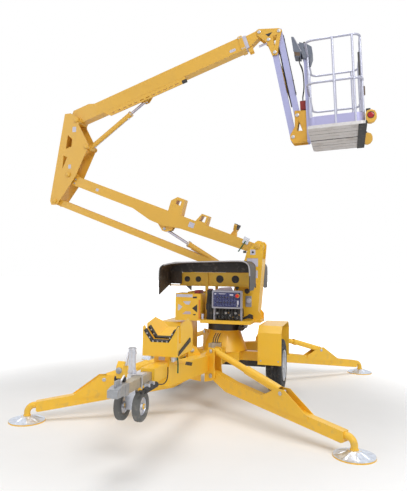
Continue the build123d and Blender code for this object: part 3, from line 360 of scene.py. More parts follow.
SIGNAL_RED = Rubber("signal_red", (0.72, 0.03, 0.02), 0.35, 0.05, slot=Material.BATTERY)
LENS_RED = Rubber("lens_red", (0.45, 0.010, 0.015), 0.18, 0.05, slot=Material.LENS)
DECAL_WHITE = Rubber("blank_label", (0.60, 0.59, 0.70), 0.42, 0.12, slot=Material.BOX)
DECAL_PINK = Rubber("blank_label_pink", (0.56, 0.45, 0.50), 0.42, 0.12, slot=Material.BOX)
DECAL_BLUE = Rubber("blank_label_blue", (0.17, 0.19, 0.36), 0.42, 0.10, slot=Material.BOX)
DECAL_YELLOW = Rubber("blank_label_yellow", (0.85, 0.66, 0.12), 0.42, 0.10, slot=Material.YELLOW)
RUBBER = Rubber("pad_rubber_black", (0.018, 0.018, 0.019), 0.62, 0.35)
TYRE_BLACK = Rubber("tyre_black", (0.022, 0.022, 0.024), 0.78, 0.55, 220, slot=Material.TYRE)
JOCKEY_GREY = Rubber("jockey_grey", (0.13, 0.13, 0.125), 0.72, 0.6, 220, slot=Material.JOCKEY)
HANDLE_GREEN = Rubber("handle_green", (0.02, 0.12, 0.06), 0.45, 0.15, slot=Material.GREY)
ZINC = Metal("zinc_plate", (0.62, 0.63, 0.68), 0.34, 0.8, 0.25, slot=Material.GALVANISED)
DISH = Metal("dished_steel", (0.60, 0.64, 0.72), 0.26, 1.0, 0.2, slot=Material.GALVANISED)
TAN_ZINC = Metal("tan_zinc", (0.50, 0.45, 0.36), 0.40, 0.5, 0.5, slot=Material.GALVANISED)
CHROME = Metal("chrome_rod", (0.62, 0.60, 0.70), 0.12, 0.0, 0.1)
BOLT_STEEL = Metal("bolt_steel", (0.58, 0.58, 0.60), 0.32, 0.0, 0.2)
BRASS = Metal("brass_fitting", (0.45, 0.27, 0.09), 0.35, 0.0, 0.3)
CAST = Metal("cast_steel", (0.40, 0.41, 0.43), 0.45, 0.4, 0.6)
ALUMINIUM = Metal("pale_aluminium", (0.46, 0.47, 0.74), 0.34, 0.15, 0.12, 0.45, slot=Material.ALUMINIUM)
RAIL_ALUMINIUM = Metal("rail_aluminium", (0.54, 0.55, 0.66), 0.30, 0.15, 0.10, 0.60, slot=Material.ALUMINIUM)
TOE_ALUMINIUM = Metal("toe_aluminium", (0.47, 0.46, 0.72), 0.36, 0.1, 0.10, 0.35, slot=Material.ALUMINIUM)
DECK_ALUMINIUM = Metal("deck_aluminium", (0.68, 0.66, 0.66), 0.42, 0.3, 0.45, 0.5, (0.06, 1, 1),
                       slot=Material.ALUMINIUM)
GUIDE_ORANGE = Paint("guide_orange", (0.80, 0.26, 0.02), slot=Material.ORANGE)
LEAN = radians(2.7)
DECK_ORIGIN = SLEW + np.array([1.491, 0, 3.382])
BRACKET = TwoPart("bracket_and_mast", (0.80, 0.43, 0.055), (0.46, 0.47, 0.72), (cos(LEAN), 0, sin(LEAN)),
                  float(DECK_ORIGIN @ np.array([cos(LEAN), 0, sin(LEAN)])) - 0.3815)


# ---- surfaces ------------------------------------------------------------------------------------


@dataclass(frozen=True)
class Basis:
    """A local frame: its origin in metres in the row frame, and its three unit directions."""

    origin: np.ndarray
    x: np.ndarray
    y: np.ndarray
    z: np.ndarray

    def at(self, points: np.ndarray) -> np.ndarray:
        """Local millimetres to metres in the row frame."""
        return self.origin + np.asarray(points, float) @ np.stack([self.x, self.y, self.z]) / MILLIS

    def moved(self, x: float, y: float, z: float, way: str = "") -> "Basis":
        """The basis at another local place, and facing one of its own axes where one is named."""
        moved = Basis(self.at((x, y, z)), self.x, self.y, self.z)
        return moved.facing(way) if way else moved

    def facing(self, direction: str) -> "Basis":
        """The basis with its Z along one of its own axes, such as +x or -y, and its Y kept up."""
        axis = {"x": self.x, "y": self.y, "z": self.z}[direction[1]]
        out = axis if direction[0] == "+" else -axis
        up = self.z if direction[1] != "z" else self.y
        return Basis(self.origin, np.cross(up, out), up, out)


def basis_between(start: tuple, end: tuple) -> Basis:
    """A basis in the boom's plane: X from start to end, Y towards the far side, Z up."""
    way = np.array([end[0] - start[0], 0, end[1] - start[1]], float)
    way /= np.linalg.norm(way)
    up = np.array([-way[2], 0, way[0]]) * (1 if way[0] > 0 else -1)
    return Basis(SLEW + np.array([start[0], 0, start[1]]) / MILLIS, way, np.cross(up, way), up)


GROUND = Basis(SLEW, np.array([1.0, 0, 0]), np.array([0, 1.0, 0]), np.array([0, 0, 1.0]))
RISER = basis_between((463, 1959), (-2415, 3039))
BOOM = basis_between((-2297, 3863), (-2297 + cos(radians(18.9)), 3863 + sin(radians(18.9))))
RISER_LIFT = basis_between((330, 1464), (-898, 2213.5))
BOOM_LIFT = basis_between((-2120, 3450), (-1225.3, 4107.3))
DECK = Basis(DECK_ORIGIN, np.array([cos(LEAN), 0, sin(LEAN)]), np.array([0, 1.0, 0]),
             np.array([-sin(LEAN), 0, cos(LEAN)]))
JIB_DROP = (1206 * cos(radians(-78)), 1206 * sin(radians(-78)))
UPPER_ARM = basis_between((725, 4890), (725 + JIB_DROP[0], 4890 + JIB_DROP[1]))
LOWER_ARM = basis_between((672, 4600), (672 + JIB_DROP[0], 4600 + JIB_DROP[1]))


@dataclass
class Surface:
    """Points and faces of one closed or open surface, as whole arrays."""

    points: np.ndarray
    faces: list = field(default_factory=list)

    def __add__(self, other: "Surface") -> "Surface":
        """Both surfaces as one."""
        count = len(self.points)
        return Surface(np.vstack([self.points, other.points]), self.faces + [f + count for f in other.faces])

    def copies(self, shifts: np.ndarray) -> "Surface":
        """The surface repeated at each shift, in metres."""
        shifts = np.atleast_2d(shifts)
        count = len(self.points)
        points = (self.points[None] + shifts[:, None]).reshape(-1, 3)
        steps = np.arange(len(shifts))[:, None, None] * count
        return Surface(points, [(f[None] + steps).reshape(-1, f.shape[1]) for f in self.faces])


def total(surfaces: list) -> Surface:
    """Several surfaces as one."""
    whole = surfaces[0]
    for part in surfaces[1:]:
        whole = whole + part
    return whole


def grid(points: np.ndarray, wrap: bool = True, caps: bool = True) -> Surface:
    """A surface over a grid of rows and columns of points: each cell is one four-sided face.

    Args:
        points: Array of rows by columns by 3, in metres.
        wrap: Whether the last column joins the first.
        caps: Whether the first and last rows are filled.

    Returns:
        The surface.
    """
    rows, columns = points.shape[:2]
    index = np.arange(rows * columns).reshape(rows, columns)
    ring = np.hstack([index, index[:, :1]]) if wrap else index
    cells = np.stack([ring[:-1, :-1], ring[:-1, 1:], ring[1:, 1:], ring[1:, :-1]], -1).reshape(-1, 4)
    faces = [cells]
    if caps:
        faces += [index[:1, ::-1], index[-1:]]
    return Surface(points.reshape(-1, 3), faces)


def lathe(basis: Basis, profile: list, sides: int = SIDES, closed: bool = False) -> Surface:
    """A profile of (radius, height) turned about the basis's Z: x = r cos a, y = r sin a, z = height.

    Args:
        basis: Where it stands.
        profile: Pairs of radius and height in millimetres.
        sides: Steps round the axis.
        closed: Whether the profile's end joins its start, for a ring.

    Returns:
        The turned surface.
    """
    radius, height = np.array(profile, float).T
    angle = np.linspace(0, 2 * pi, sides, endpoint=False)
    points = np.stack([radius[:, None] * np.cos(angle), radius[:, None] * np.sin(angle),
                       np.broadcast_to(height[:, None], (len(radius), sides))], -1)
    if closed:
        points = np.concatenate([points, points[:1]])
    return grid(basis.at(points), caps=not closed)


def level(outline: np.ndarray, z: float) -> np.ndarray:
    """The outline's points at one height."""
    return np.column_stack([outline, np.full(len(outline), z)])


def rim(basis: Basis, outer: np.ndarray, inner: np.ndarray, low: float, high: float) -> Surface:
    """A closed band between two outlines in the basis's X and Y, from low to high along its Z."""
    rows = ((outer, low), (outer, high), (inner, high), (inner, low), (outer, low))
    return grid(basis.at(np.stack([level(loop, z) for loop, z in rows])), caps=False)


def tyre(hub: Basis, across: np.ndarray, radius: np.ndarray, turn: np.ndarray) -> Surface:
    """A closed section turned about the hub's X: x is as given, y = r sin a and z = r cos a."""
    radius = np.broadcast_to(radius, (len(across), len(turn)))
    across = np.broadcast_to(across, radius.shape)
    points = np.stack([across, radius * np.sin(turn), radius * np.cos(turn)], -1)
    return grid(hub.at(np.concatenate([points, points[:1]])), caps=False)


def pin_heads(basis: Basis, pins: list, half: float, shape: list, sides: int = 24) -> list:
    """Round heads on both faces of a plate.

    Args:
        basis: The plate's basis, with its faces across Y.
        pins: Local (x, z, radius) of each pin.
        half: Distance of each face from the plate's middle.
        shape: Pairs of (width past the pin's radius, height), the last with its radius itself.
        sides: Steps round the axis.

    Returns:
        The heads' surfaces.
    """
    return [lathe(basis.moved(x, side * half, z, way),
                  [(radius + out, high) for out, high in shape[:-1]] + shape[-1:], sides)
            for x, z, radius in pins for side, way in BOTH]


def rounded(width: float, height: float, radius: float, steps: int = 5) -> np.ndarray:
    """A rectangle with quarter-circle corners, as points going round it anticlockwise."""
    turn = np.linspace(0, pi / 2, steps)
    corner = np.stack([np.cos(turn), np.sin(turn)], -1) * radius
    centres = np.array([(1, 1), (-1, 1), (-1, -1), (1, -1)]) * (width / 2 - radius, height / 2 - radius)
    spin = np.array([[[1, 0], [0, 1]], [[0, 1], [-1, 0]], [[-1, 0], [0, -1]], [[0, -1], [1, 0]]])
    return (centres[:, None] + corner[None] @ spin).reshape(-1, 2)


def bar(basis: Basis, outline: np.ndarray, low: float, high: float) -> Surface:
    """A plate or bar: one outline in the basis's X and Y, carried from low to high along its Z."""
    return grid(basis.at(np.stack([level(outline, z) for z in (low, high)])))


def brick(basis: Basis, x: tuple, y: tuple, z: tuple, corner: float = 2.0) -> Surface:
    """A box between two corners, rounded in its basis's X and Y plane."""
    outline = rounded(abs(x[1] - x[0]), abs(y[1] - y[0]), corner, 3)
    return bar(basis, outline + ((x[0] + x[1]) / 2, (y[0] + y[1]) / 2), z[0], z[1])


def smooth_line(points: list, count: int = 60) -> np.ndarray:
    """A smooth line near its points: a uniform cubic B-spline held at both ends.

    Each place is the sum of four neighbours weighted by the cubic basis functions.
    """
    line = np.array(points, float)
    line = np.vstack([2 * line[0] - line[1], line, 2 * line[-1] - line[-2]])
    place = np.linspace(0, len(line) - 3, count)
    first = np.minimum(place.astype(int), len(line) - 4)
    t = (place - first)[:, None]
    weights = ((1 - t) ** 3, 3 * t ** 3 - 6 * t ** 2 + 4, -3 * t ** 3 + 3 * t ** 2 + 3 * t + 1, t ** 3)
    return sum(w * line[first + k] for k, w in enumerate(weights)) / 6


def tube(basis: Basis, line: np.ndarray, radius: float, sides: int = 12) -> Surface:
    """A round tube along a line: each point's ring lies across the line's direction there."""
    line = np.asarray(line, float)
    along = np.gradient(line, axis=0)
    along /= np.linalg.norm(along, axis=1, keepdims=True)
    flat = np.linalg.svd(line - line.mean(0))[2][-1]
    side = flat - (along @ flat)[:, None] * along
    side /= np.linalg.norm(side, axis=1, keepdims=True)
    other = np.cross(along, side)
    angle = np.linspace(0, 2 * pi, sides, endpoint=False)
    ring = side[:, None] * np.cos(angle)[None, :, None] + other[:, None] * np.sin(angle)[None, :, None]
    return grid(basis.at(line[:, None] + radius * ring))


def hose(basis: Basis, points: list, radius: float, count: int = 40) -> Surface:
    """A round hose along a smooth line near its points."""
    return tube(basis, smooth_line(points, count), radius, 10)


def pill(basis: Basis, start: tuple, end: tuple, radius: float, sides: int = 16) -> Surface:
    """A straight round bar from start to end."""
    return tube(basis, np.linspace(start, end, 3) + [(0, 0, 0), (0, 1e-6, 0), (0, 0, 0)], radius, sides)


def bolts(basis: Basis, places: list, across: float) -> Surface:
    """Hexagonal heads on washers, standing on the basis's X and Y plane."""
    hexagon = [(across * 0.58, 1.5), (across * 0.58, across * 0.5), (across * 0.48, across * 0.58)]
    head = lathe(basis, hexagon, 6)
    washer = lathe(basis, [(across * 0.85, 0), (across * 0.85, 1.5)], 16)
    spots = np.array([(*place, 0)[:3] for place in places], float)
    return (head + washer).copies(basis.at(spots) - basis.origin)


# ---- making pieces -------------------------------------------------------------------------------


@dataclass
class Workshop:
    """Makes finished objects from surfaces, and keeps each finish once."""

    finishes: dict = field(default_factory=dict)

    def finish(self, look: Finish) -> bpy.types.Material:
        """The material of a finish, built the first time it is asked for."""
        if look.name not in self.finishes:
            self.finishes[look.name] = look.make()
        return self.finishes[look.name]

    def piece(self, name: str, surface: Surface | list, look: Finish, body: str, edge: float = 0.0,
              slot: Material | None = None, stands_for: tuple = (),
              crease: float = 35.0) -> bpy.types.Object:
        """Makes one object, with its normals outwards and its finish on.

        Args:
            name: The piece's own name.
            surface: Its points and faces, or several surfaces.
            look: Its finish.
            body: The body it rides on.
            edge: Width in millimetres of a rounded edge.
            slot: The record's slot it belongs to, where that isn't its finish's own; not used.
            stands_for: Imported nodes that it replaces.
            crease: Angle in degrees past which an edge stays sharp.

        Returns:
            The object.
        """
        surface = total(surface) if isinstance(surface, list) else surface
        mesh = bpy.data.meshes.new(name)
        faces = [face for block in surface.faces for face in block.tolist()]
        mesh.from_pydata(surface.points.tolist(), [], faces)
        work = bmesh.new()
        work.from_mesh(mesh)
        bmesh.ops.recalc_face_normals(work, faces=work.faces)
        work.to_mesh(mesh)
        work.free()
        mesh.polygons.foreach_set("use_smooth", np.ones(len(mesh.polygons), bool))
        mesh.set_sharp_from_angle(angle=radians(crease))
        item = bpy.data.objects.new(name, mesh)
        bpy.context.scene.collection.objects.link(item)
        mesh.materials.append(self.finish(look))
        if edge:
            bevel = item.modifiers.new("rounded_edge", "BEVEL")
            bevel.width, bevel.segments, bevel.limit_method = edge / MILLIS, 2, "ANGLE"
        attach(item, body)
        if stands_for:
            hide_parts(*stands_for)
        log.info("%s: %d faces on %s", name, len(faces), body)
        return item

    def cord(self, name: str, base: Basis, line: np.ndarray, radius: float, body: str) -> None:
        """Makes a rubber cord hanging between two places on the lift.

        Args:
            name: The piece's own name.
            base: Frame the line is in.
            line: Centre line, in millimetres.
            radius: Radius of the cord in millimetres.
            body: The body it rides on.
        """
        item = self.piece(name, tube(base, line, radius, 12), RUBBER, body)
        path = base.at(line)

    def dress(self, nodes: dict, looks: dict) -> None:
        """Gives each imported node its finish."""
        for name, look in looks.items():
            for slot in nodes[name].material_slots:
                slot.material = self.finish(look)


@dataclass
class Section:
    """A group of fittings, most of them on one body."""

    shop: Workshop
    body: str = "chassis"

    def add(self, name: str, surface: Surface | list, look: Finish, edge: float = 0.0,
            **more: object) -> bpy.types.Object:
        """Makes a piece on the section's own body, unless more names another."""
        return self.shop.piece(name, surface, look, more.pop("body", self.body), edge, **more)

    def labels(self, name: str, face: Basis, spots: list) -> None:
        """Sticks blank labels of (x, y, width, height) on a face."""
        for index, (x, y, wide, high) in enumerate(spots):
            label = bar(face.moved(x, y, 0), rounded(wide, high, 4), 0, 0.8)
            self.add(f"{name}_{index}", label, DECAL_WHITE)


CORNERS = tuple(
    (f"{end}_{side}", sign, away, x, y, angle)
    for end, away, x, y, angle in (("front", -1, 148.0, -1105.0, 31.7), ("rear", 1, 430.0, 684.0, 40.4))
    for side, sign in (("left", 1), ("right", -1))
)


@dataclass
class Running(Section):
    """The road tyres, and small fittings of the wheels and fenders."""

    tyre_radius: float = 344.0
    wheel_x: float = 709.5
    axle_z: float = 385.0
    blocks: int = 64
    groove: float = 8.0
    bolt_circle: float = 79.2

    def tread(self, sign: int) -> Surface:
        """The tyre: a cross-section turned about the axle, its tread pressed in by grooves.

        The radius falls by the groove's depth where a point lies near one of three zigzag rings or, on
        the shoulders, near one of the cross cuts that repeat round the wheel.
        """
        wall = np.array([(-74, 197), (-88, 205), (-98, 235), (-102, 268), (-100, 300), (-94, 322),
                         (-85, 336), (-74, 341.5)], float)
        bend = 2.2 * np.linspace(-1, 1, 39) ** 2
        crown = np.column_stack([np.linspace(-68, 68, 39), self.tyre_radius - bend])
        inner = np.array([(60, 197), (0, 195.5), (-60, 197)], float)
        section = np.vstack([wall, crown, wall[::-1] * (-1, 1), inner])
        turn = np.linspace(0, 2 * pi, 640, endpoint=False)
        across, radius = section[:, :1], section[:, 1:]
        block = turn * self.blocks / (2 * pi)
        wave = np.abs(block % 1 - 0.5) * 4 - 1
        rings = np.min([np.abs(across - middle - 4 * wave) for middle in (-42, 0, 42)], axis=0)
        cuts = np.abs((block + 0.008 * np.abs(across)) % 1 - 0.5) * 33
        shoulder = np.where(np.abs(across) > 50, np.clip(1.4 - cuts / 2.0, 0, 1), 0)
        pressed = np.clip(np.clip(1.6 - rings / 3.2, 0, 1) + shoulder, 0, 1) * self.groove
        hub = GROUND.moved(sign * self.wheel_x, 0, self.axle_z)
        return tyre(hub, across * sign, radius - (radius > 330) * pressed, turn)

    def build(self) -> None:
        """Makes the tyres, wheel fittings, and the fenders' bolts."""
        angles = np.linspace(0, 2 * pi, 6)[:-1]
        ring = [(self.bolt_circle * cos(a), self.bolt_circle * sin(a)) for a in angles]
        for side, sign in (("left", 1), ("right", -1)):
            body = f"wheel_{side}"
            self.add(f"tread_{side}", self.tread(sign), TYRE_BLACK, body=body, stands_for=(f"tyre_{side}",),
                     crease=50)
            hub = GROUND.moved(sign * self.wheel_x, 0, self.axle_z, "+x" if sign > 0 else "-x")
            nuts = bolts(hub.moved(0, 0, 14), ring, 21)
            self.add(f"wheel_nuts_{side}", nuts, BOLT_STEEL, body=body)
            cap = [(38, 70), (44, 74), (44, 92), (34, 98), (2, 99)]
            self.add(f"hub_cap_{side}", lathe(hub, cap), ZINC, body=body)
            lip = [(194, 96), (199, 98), (203, 102), (199, 104), (189, 97), (189, 60), (194, 60)]
            self.add(f"rim_lip_{side}", lathe(hub, lip, 64, True), WHEEL_GREY, body=body)
            beads = [bolts(GROUND.moved(sign * 675, end * 425.5, 0, way), [(-110, 500), (110, 500)], 12)
                     for end, way in BOTH]
            self.add(f"fender_bolts_{side}", beads, BOLT_STEEL)


@dataclass
class Outriggers(Section):
    """Fittings of the four legs: dished feet with collars, rod guards, pin heads and stops."""

    reach: float = 1800.0
    eye: tuple = (1000.0, 412.0)
    base_z: float = 705.0

    def leg(self, sign: int, away: int, x: float, y: float, angle: float) -> Basis:
        """The leg's basis: X outwards, Z up, at its hinge on the ground."""
        out = np.array([sign * cos(radians(angle)), away * sin(radians(angle)), 0])
        up = np.array([0, 0, 1.0])
        return Basis(SLEW + np.array([sign * x, y, 0]) / MILLIS, out, np.cross(up, out), up)

    def guard(self, leg: Basis) -> Surface:
        """The yellow guard over the rod: an arc of 250 degrees, carried along the cylinder's line."""
        start, end = np.array([0, self.base_z]), np.array(self.eye)
        way = (end - start) / np.linalg.norm(end - start)
        lift = Basis(leg.at((end[0], 0, end[1])), way[0] * leg.x + way[1] * leg.z, leg.y,
                     -way[1] * leg.x + way[0] * leg.z)
        arc = np.linspace(radians(-35), radians(215), 25)
        ring = np.column_stack([np.cos(arc), np.sin(arc)])
        shell = np.vstack([ring * 50, ring[::-1] * 46])
        return grid(lift.at(np.stack([np.column_stack([np.full(len(shell), s), shell])
                                      for s in (-520, -500, -90, -42)])))

    def dish(self, foot: Basis) -> Surface:
        """The pressed foot: a thin dish with a rolled rim and eight raised ribs.

        Height is that of the dish plus a rib term, which rises where eight times the angle peaks.
        """
        turn = np.linspace(0, 2 * pi, 160, endpoint=False)
        radius = np.concatenate([[50], np.linspace(52, 187, 22), [188]])[:, None]
        share = (radius - 52) / 135
        rib = np.clip(np.cos(8 * turn) * 2.2 - 1.2, 0, 1) * np.sin(np.clip(share, 0, 1) * pi)
        height = 60.6 - 47 * np.clip(share, 0, 1) ** 0.85 + 6 * rib + 4 * np.clip(share * 12 - 11, 0, 1)
        height[0], height[-1] = 61.0, 12.5
        return grid(foot.at(np.stack([radius * np.cos(turn), radius * np.sin(turn), height], -1)))

    def build(self) -> None:
        """Makes each leg's fittings."""
        for name, *place in CORNERS:
            leg, body = self.leg(*place), f"outrigger_{name}"
            self.add(f"rod_guard_{name}", self.guard(leg), YELLOW, body=f"outrigger_rod_{name}")
            self.add(f"foot_dish_{name}", self.dish(leg.moved(self.reach, 0, 0)), DISH, body=body, crease=60)
            heads = pin_heads(leg, [(*self.eye, 21)], 53.5, [(0, 0), (0, 5), (-4, 8), (3, 8.5)])
            self.add(f"eye_pin_{name}", heads, BOLT_STEEL, body=body)
            stop = bolts(leg, [(1560, 12, 214), (1640, -12, 205)], 14)
            self.add(f"leg_bolts_{name}", stop, BOLT_STEEL, body=body)
            collar = lathe(leg.moved(self.reach, 0, 55), [(36, 0), (40, 3), (40, 14), (34, 18)])
            self.add(f"foot_collar_{name}", collar, YELLOW, body=body)


@dataclass
class Hoods(Section):
    """Dark liners, a painted highlight along the top of each open edge, dark seals and stays of the two
    raised hoods.
    """

    left: float = -716.0
    right: float = 470.0
    top: float = 1756.0
    back: float = 285.0
    edge: float = 697.0
    skirt_z: float = 1442.0
    skirt_slope: float = 130 / 412
    right_skirt_z: float = 1388.0

    def arch(self, inset: float) -> np.ndarray:
        """The hood's arch seen from the front, as a smooth open line inset from its skin."""
        left, right, top = self.left + inset, self.right - inset, self.top - inset
        line = [(left, 1300), (left, 1500), (left, 1620), (left + 10, 1672 - inset),
                (left + 60, 1702 - inset), (-500, 1733 - inset), (-100, 1743 - inset), (290, top),
                (right - 70, top - 2), (right - 12, top - 40), (right, 1640), (right, 1500), (right, 1400)]
        return smooth_line([(x, 0, z) for x, z in line], 90)[:, (0, 2)]

    def liner(self, side: int) -> Surface:
        """The dark inner skin: the arch carried from the back to the open edge, clipped by the skirt."""
        line = self.arch(10.5)
        depth = np.linspace(self.back + 11, self.edge - 3, 12)
        low = self.skirt_z - (depth - self.back) * self.skirt_slope
        height = np.maximum(line[:, 1:], low)
        height = np.where(line[:, :1] > 300, np.maximum(height, self.right_skirt_z), height)
        points = np.stack(np.broadcast_arrays(line[:, :1], side * depth, height), -1)
        return grid(GROUND.at(points), wrap=False, caps=False)

    def build(self) -> None:
        """Makes both hoods' linings, edges and stays."""
        for name, side in (("near", -1), ("far", 1)):
            self.body = f"hood_{name}"
            skin = self.add(f"liner_{name}", self.liner(side), LINER)
            wall = skin.modifiers.new("wall", "SOLIDIFY")
            wall.thickness, wall.offset = 0.0015, 0
            x, z = self.arch(4).T
            rim_line = np.column_stack([x, np.full(len(x), side * (self.edge - 2)), z])
            # The pale tube along the top of each open edge is a painted highlight on the dark edge; the dark
            # tube down the side is a seal.
            for part, kept, look in (("edge_highlight", (z > 1560) & (x > self.left + 60), HOOD_EDGE_HIGHLIGHT),
                                     ("edge_seal", (z > 1395) & (x < self.left + 70), DARK)):
                self.add(f"{part}_{name}", tube(GROUND, rim_line[kept], 8.5, 10), look)
            back = brick(GROUND, (-711, -540), (side * 287, side * 297), (1446, 1612))
            self.add(f"back_panel_{name}", back, LINER)
            stay = pill(GROUND, (-195, side * 259, 1560), (-192, side * 259, 1385), 5)
            self.add(f"stay_{name}", stay, BLACK, body="turntable")


@dataclass
class Turntable(Section):
    """Control panel, batteries, gauges, hoses and labels on the slewing base."""

    body: str = "turntable"

    def panel(self) -> None:
        """The control panel's face: grey frame, blue plate, switches, key and red stop button."""
        face = GROUND.moved(137, -500, 1260, "-y")
        self.add("panel_frame", bar(face, rounded(392, 226, 14), -4, 9), FRAME_GREY, 2)
        self.add("panel_plate", bar(face, rounded(352, 186, 8), 8, 11.5), PANEL_BLUE, 1)
        spots = [(x + 6 * (row % 2), 78 - 17 * row) for row in range(10) for x in range(-160, 110, 38)]
        fields = [bar(face.moved(x, y, 0), rounded(16 + 9 * (k % 3), 4.5, 1, 3), 11.4, 12.1)
                  for k, (x, y) in enumerate(spots)]
        self.add("panel_fields", fields, DECAL_BLUE)
        boxes = ((-150, 72, 24, 16), (-60, 74, 90, 7), (62, 62, 46, 18), (146, -34, 22, 52))
        plates = [bar(face.moved(x, y, 0), rounded(w, h, 2, 3), 11.4, 12.4) for x, y, w, h in boxes]
        self.add("panel_plates", plates, DECAL_WHITE)
        knob = [(9, 0), (9, 3), (5, 4), (3.4, 20), (5, 25), (4, 31), (1, 32)]
        knobs = [lathe(face.moved(x, y, 11), knob, 16)
                 for x in (-120, -75, -30, 12, 55, 98) for y in (32, -34)]
        self.add("panel_switches", knobs, DARK)
        stop = face.moved(140, 52, 11)
        button = [(17, 0), (17, 6), (11, 8), (11, 14), (22, 17), (23, 24), (17, 30), (2, 32)]
        self.add("stop_button", lathe(stop, button), SIGNAL_RED)
        ring = lathe(stop, [(20, 0), (27, 0), (27, 2.5), (20, 2.5)], closed=True)
        self.add("stop_ring", ring, DECAL_YELLOW)
        key = lathe(face.moved(140, -76, 11), [(10, 0), (10, 5), (6, 9), (2, 10)], 24)
        self.add("key_switch", key, BOLT_STEEL)
        cap = bar(GROUND.moved(137, -473, 1372), rounded(372, 50, 10), 0, 5)
        self.add("panel_cap", cap, FRAME_GREY, 1.5)
        pouch = [(-56, 1368), (196, 1368), (168, 1420), (20, 1408)]
        self.add("panel_pouch", bar(GROUND.moved(0, -380, 0, "-y"), pouch, 0, 9), DECAL_PINK, 1.5)

    def gauges(self) -> None:
        """Knobs, the gauge and blank labels on the near upright, and the grommets of the hole plates."""
        plate = GROUND.moved(0, -130, 0, "-y")
        knob = [(30, 0), (34, 4), (34, 30), (26, 38), (3, 39)]
        small = lathe(GROUND.moved(236, -330, 1404, "-y"), [(r * 0.7, h) for r, h in knob])
        self.add("round_knobs", [lathe(plate.moved(331, 1360, 0), knob, 40), small], DARK)
        case = [(30, 0), (34, 4), (34, 18), (30, 22), (26, 22), (25, 18), (2, 18)]
        self.add("gauge_case", lathe(plate.moved(352, 1232, 8), case, 48), ZINC)
        dial = lathe(plate.moved(352, 1232, 26), [(24, 0), (24, 1.2), (1, 1.3)], 40)
        self.add("gauge_dial", dial, DECAL_WHITE)
        self.add("gauge_plate", bar(plate.moved(349, 1222, 0), rounded(80, 145, 8), 0, 9), FRAME_GREY, 2)
        spots = [(400, 1880, 70, 70), (396, 1743, 150, 111), (439, 1586, 60, 100)]
        self.labels("upright_label", plate, spots)
        self.add("upright_band", bar(plate.moved(396, 1795, 0.7), rounded(148, 9, 2), 0, 0.5), DECAL_PINK)
        mark = lathe(plate.moved(400, 1880, 0.7), [(16, 0), (16, 0.7), (2, 0.8)], 6)
        self.add("upright_mark", mark, DARK, slot=Material.BLACK)
        self.add("riser_stop", brick(GROUND, (268, 312), (-136, -120), (1868, 1900), 6), RUBBER)
        for name, (side, way) in zip(("near", "far"), BOTH):
            grommets = []
            for x, z, r in ((-474, 1510, 31), (-318, 1510, 31), (-19, 1515, 43), (193, 1515, 43)):
                shape = [(r + 8, 0), (r + 8, 3), (r - 2, 5), (r - 4, -6), (r * 0.45, -7), (r * 0.4, 2),
                         (2, 3)]
                grommets.append(lathe(GROUND.moved(x, side * 255, z, way), shape, 40))
            self.add(f"grommets_{name}", grommets, DARK)

    def batteries(self) -> None:
        """Battery lids with caps and leads, and the blank labels on their boxes."""
        spread = np.array([(x, y, 0) for x in (0, 48, 96, 144) for y in (-58, 58)]) / MILLIS
        lead = [(-130, -90, 14), (-120, -92, 34), (-60, -80, 48), (20, -60, 46), (60, -78, 40),
                (70, -88, 16)]
        for name, side in (("near", -1), ("far", 1)):
            top = GROUND.moved(-415, side * 267, 1232)
            self.add(f"battery_lid_{name}", bar(top, rounded(318, 236, 12), -2, 12), BATTERY_TOP, 3)
            caps = lathe(top.moved(-120, 0, 12), [(15, 0), (15, 8), (11, 12), (2, 12.5)], 20)
            self.add(f"battery_caps_{name}", caps.copies(spread), DECAL_YELLOW)
            self.add(f"battery_lead_{name}", tube(top, smooth_line(lead), 6), DARK)
            charger = brick(top, (74, 146), (-96, 96), (10, 132), 6)
            self.add(f"battery_charger_{name}", charger, BATTERY_RED, 3)
        face = GROUND.moved(-415, -402, 1150, "-y")
        for index, (outline, look) in enumerate((
                ([(-165, 122), (62, 122), (62, 160), (-165, 160)], DECAL_WHITE),
                ([(-70, 66), (38, 70), (18, 22), (-34, 28)], DECAL_WHITE),
                ([(-136, 32), (-76, -6), (-124, -56), (-140, -52)], DECAL_WHITE),
                ([(-78, -104), (-30, -64), (36, -66), (44, -100)], DECAL_PINK))):
            self.add(f"battery_label_{index}", bar(face, outline, 0, 0.8), look)
        marks = [bar(face, outline, 0, high) for outline, high in (
            ([(58, -22), (130, 34), (130, -78)], 0.9), ([(68, 108), (128, 112), (120, 134), (68, 130)], 2),
            ([(74, -100), (110, -96), (104, -114), (72, -112)], 0.9))]
        self.add("battery_marks", marks, DARK, slot=Material.BLACK)
        guide = [(150, -156), (172, -156), (172, 96), (150, 90)]
        self.add("battery_guide", bar(face, guide, 0, 6), GUIDE_ORANGE, 1)

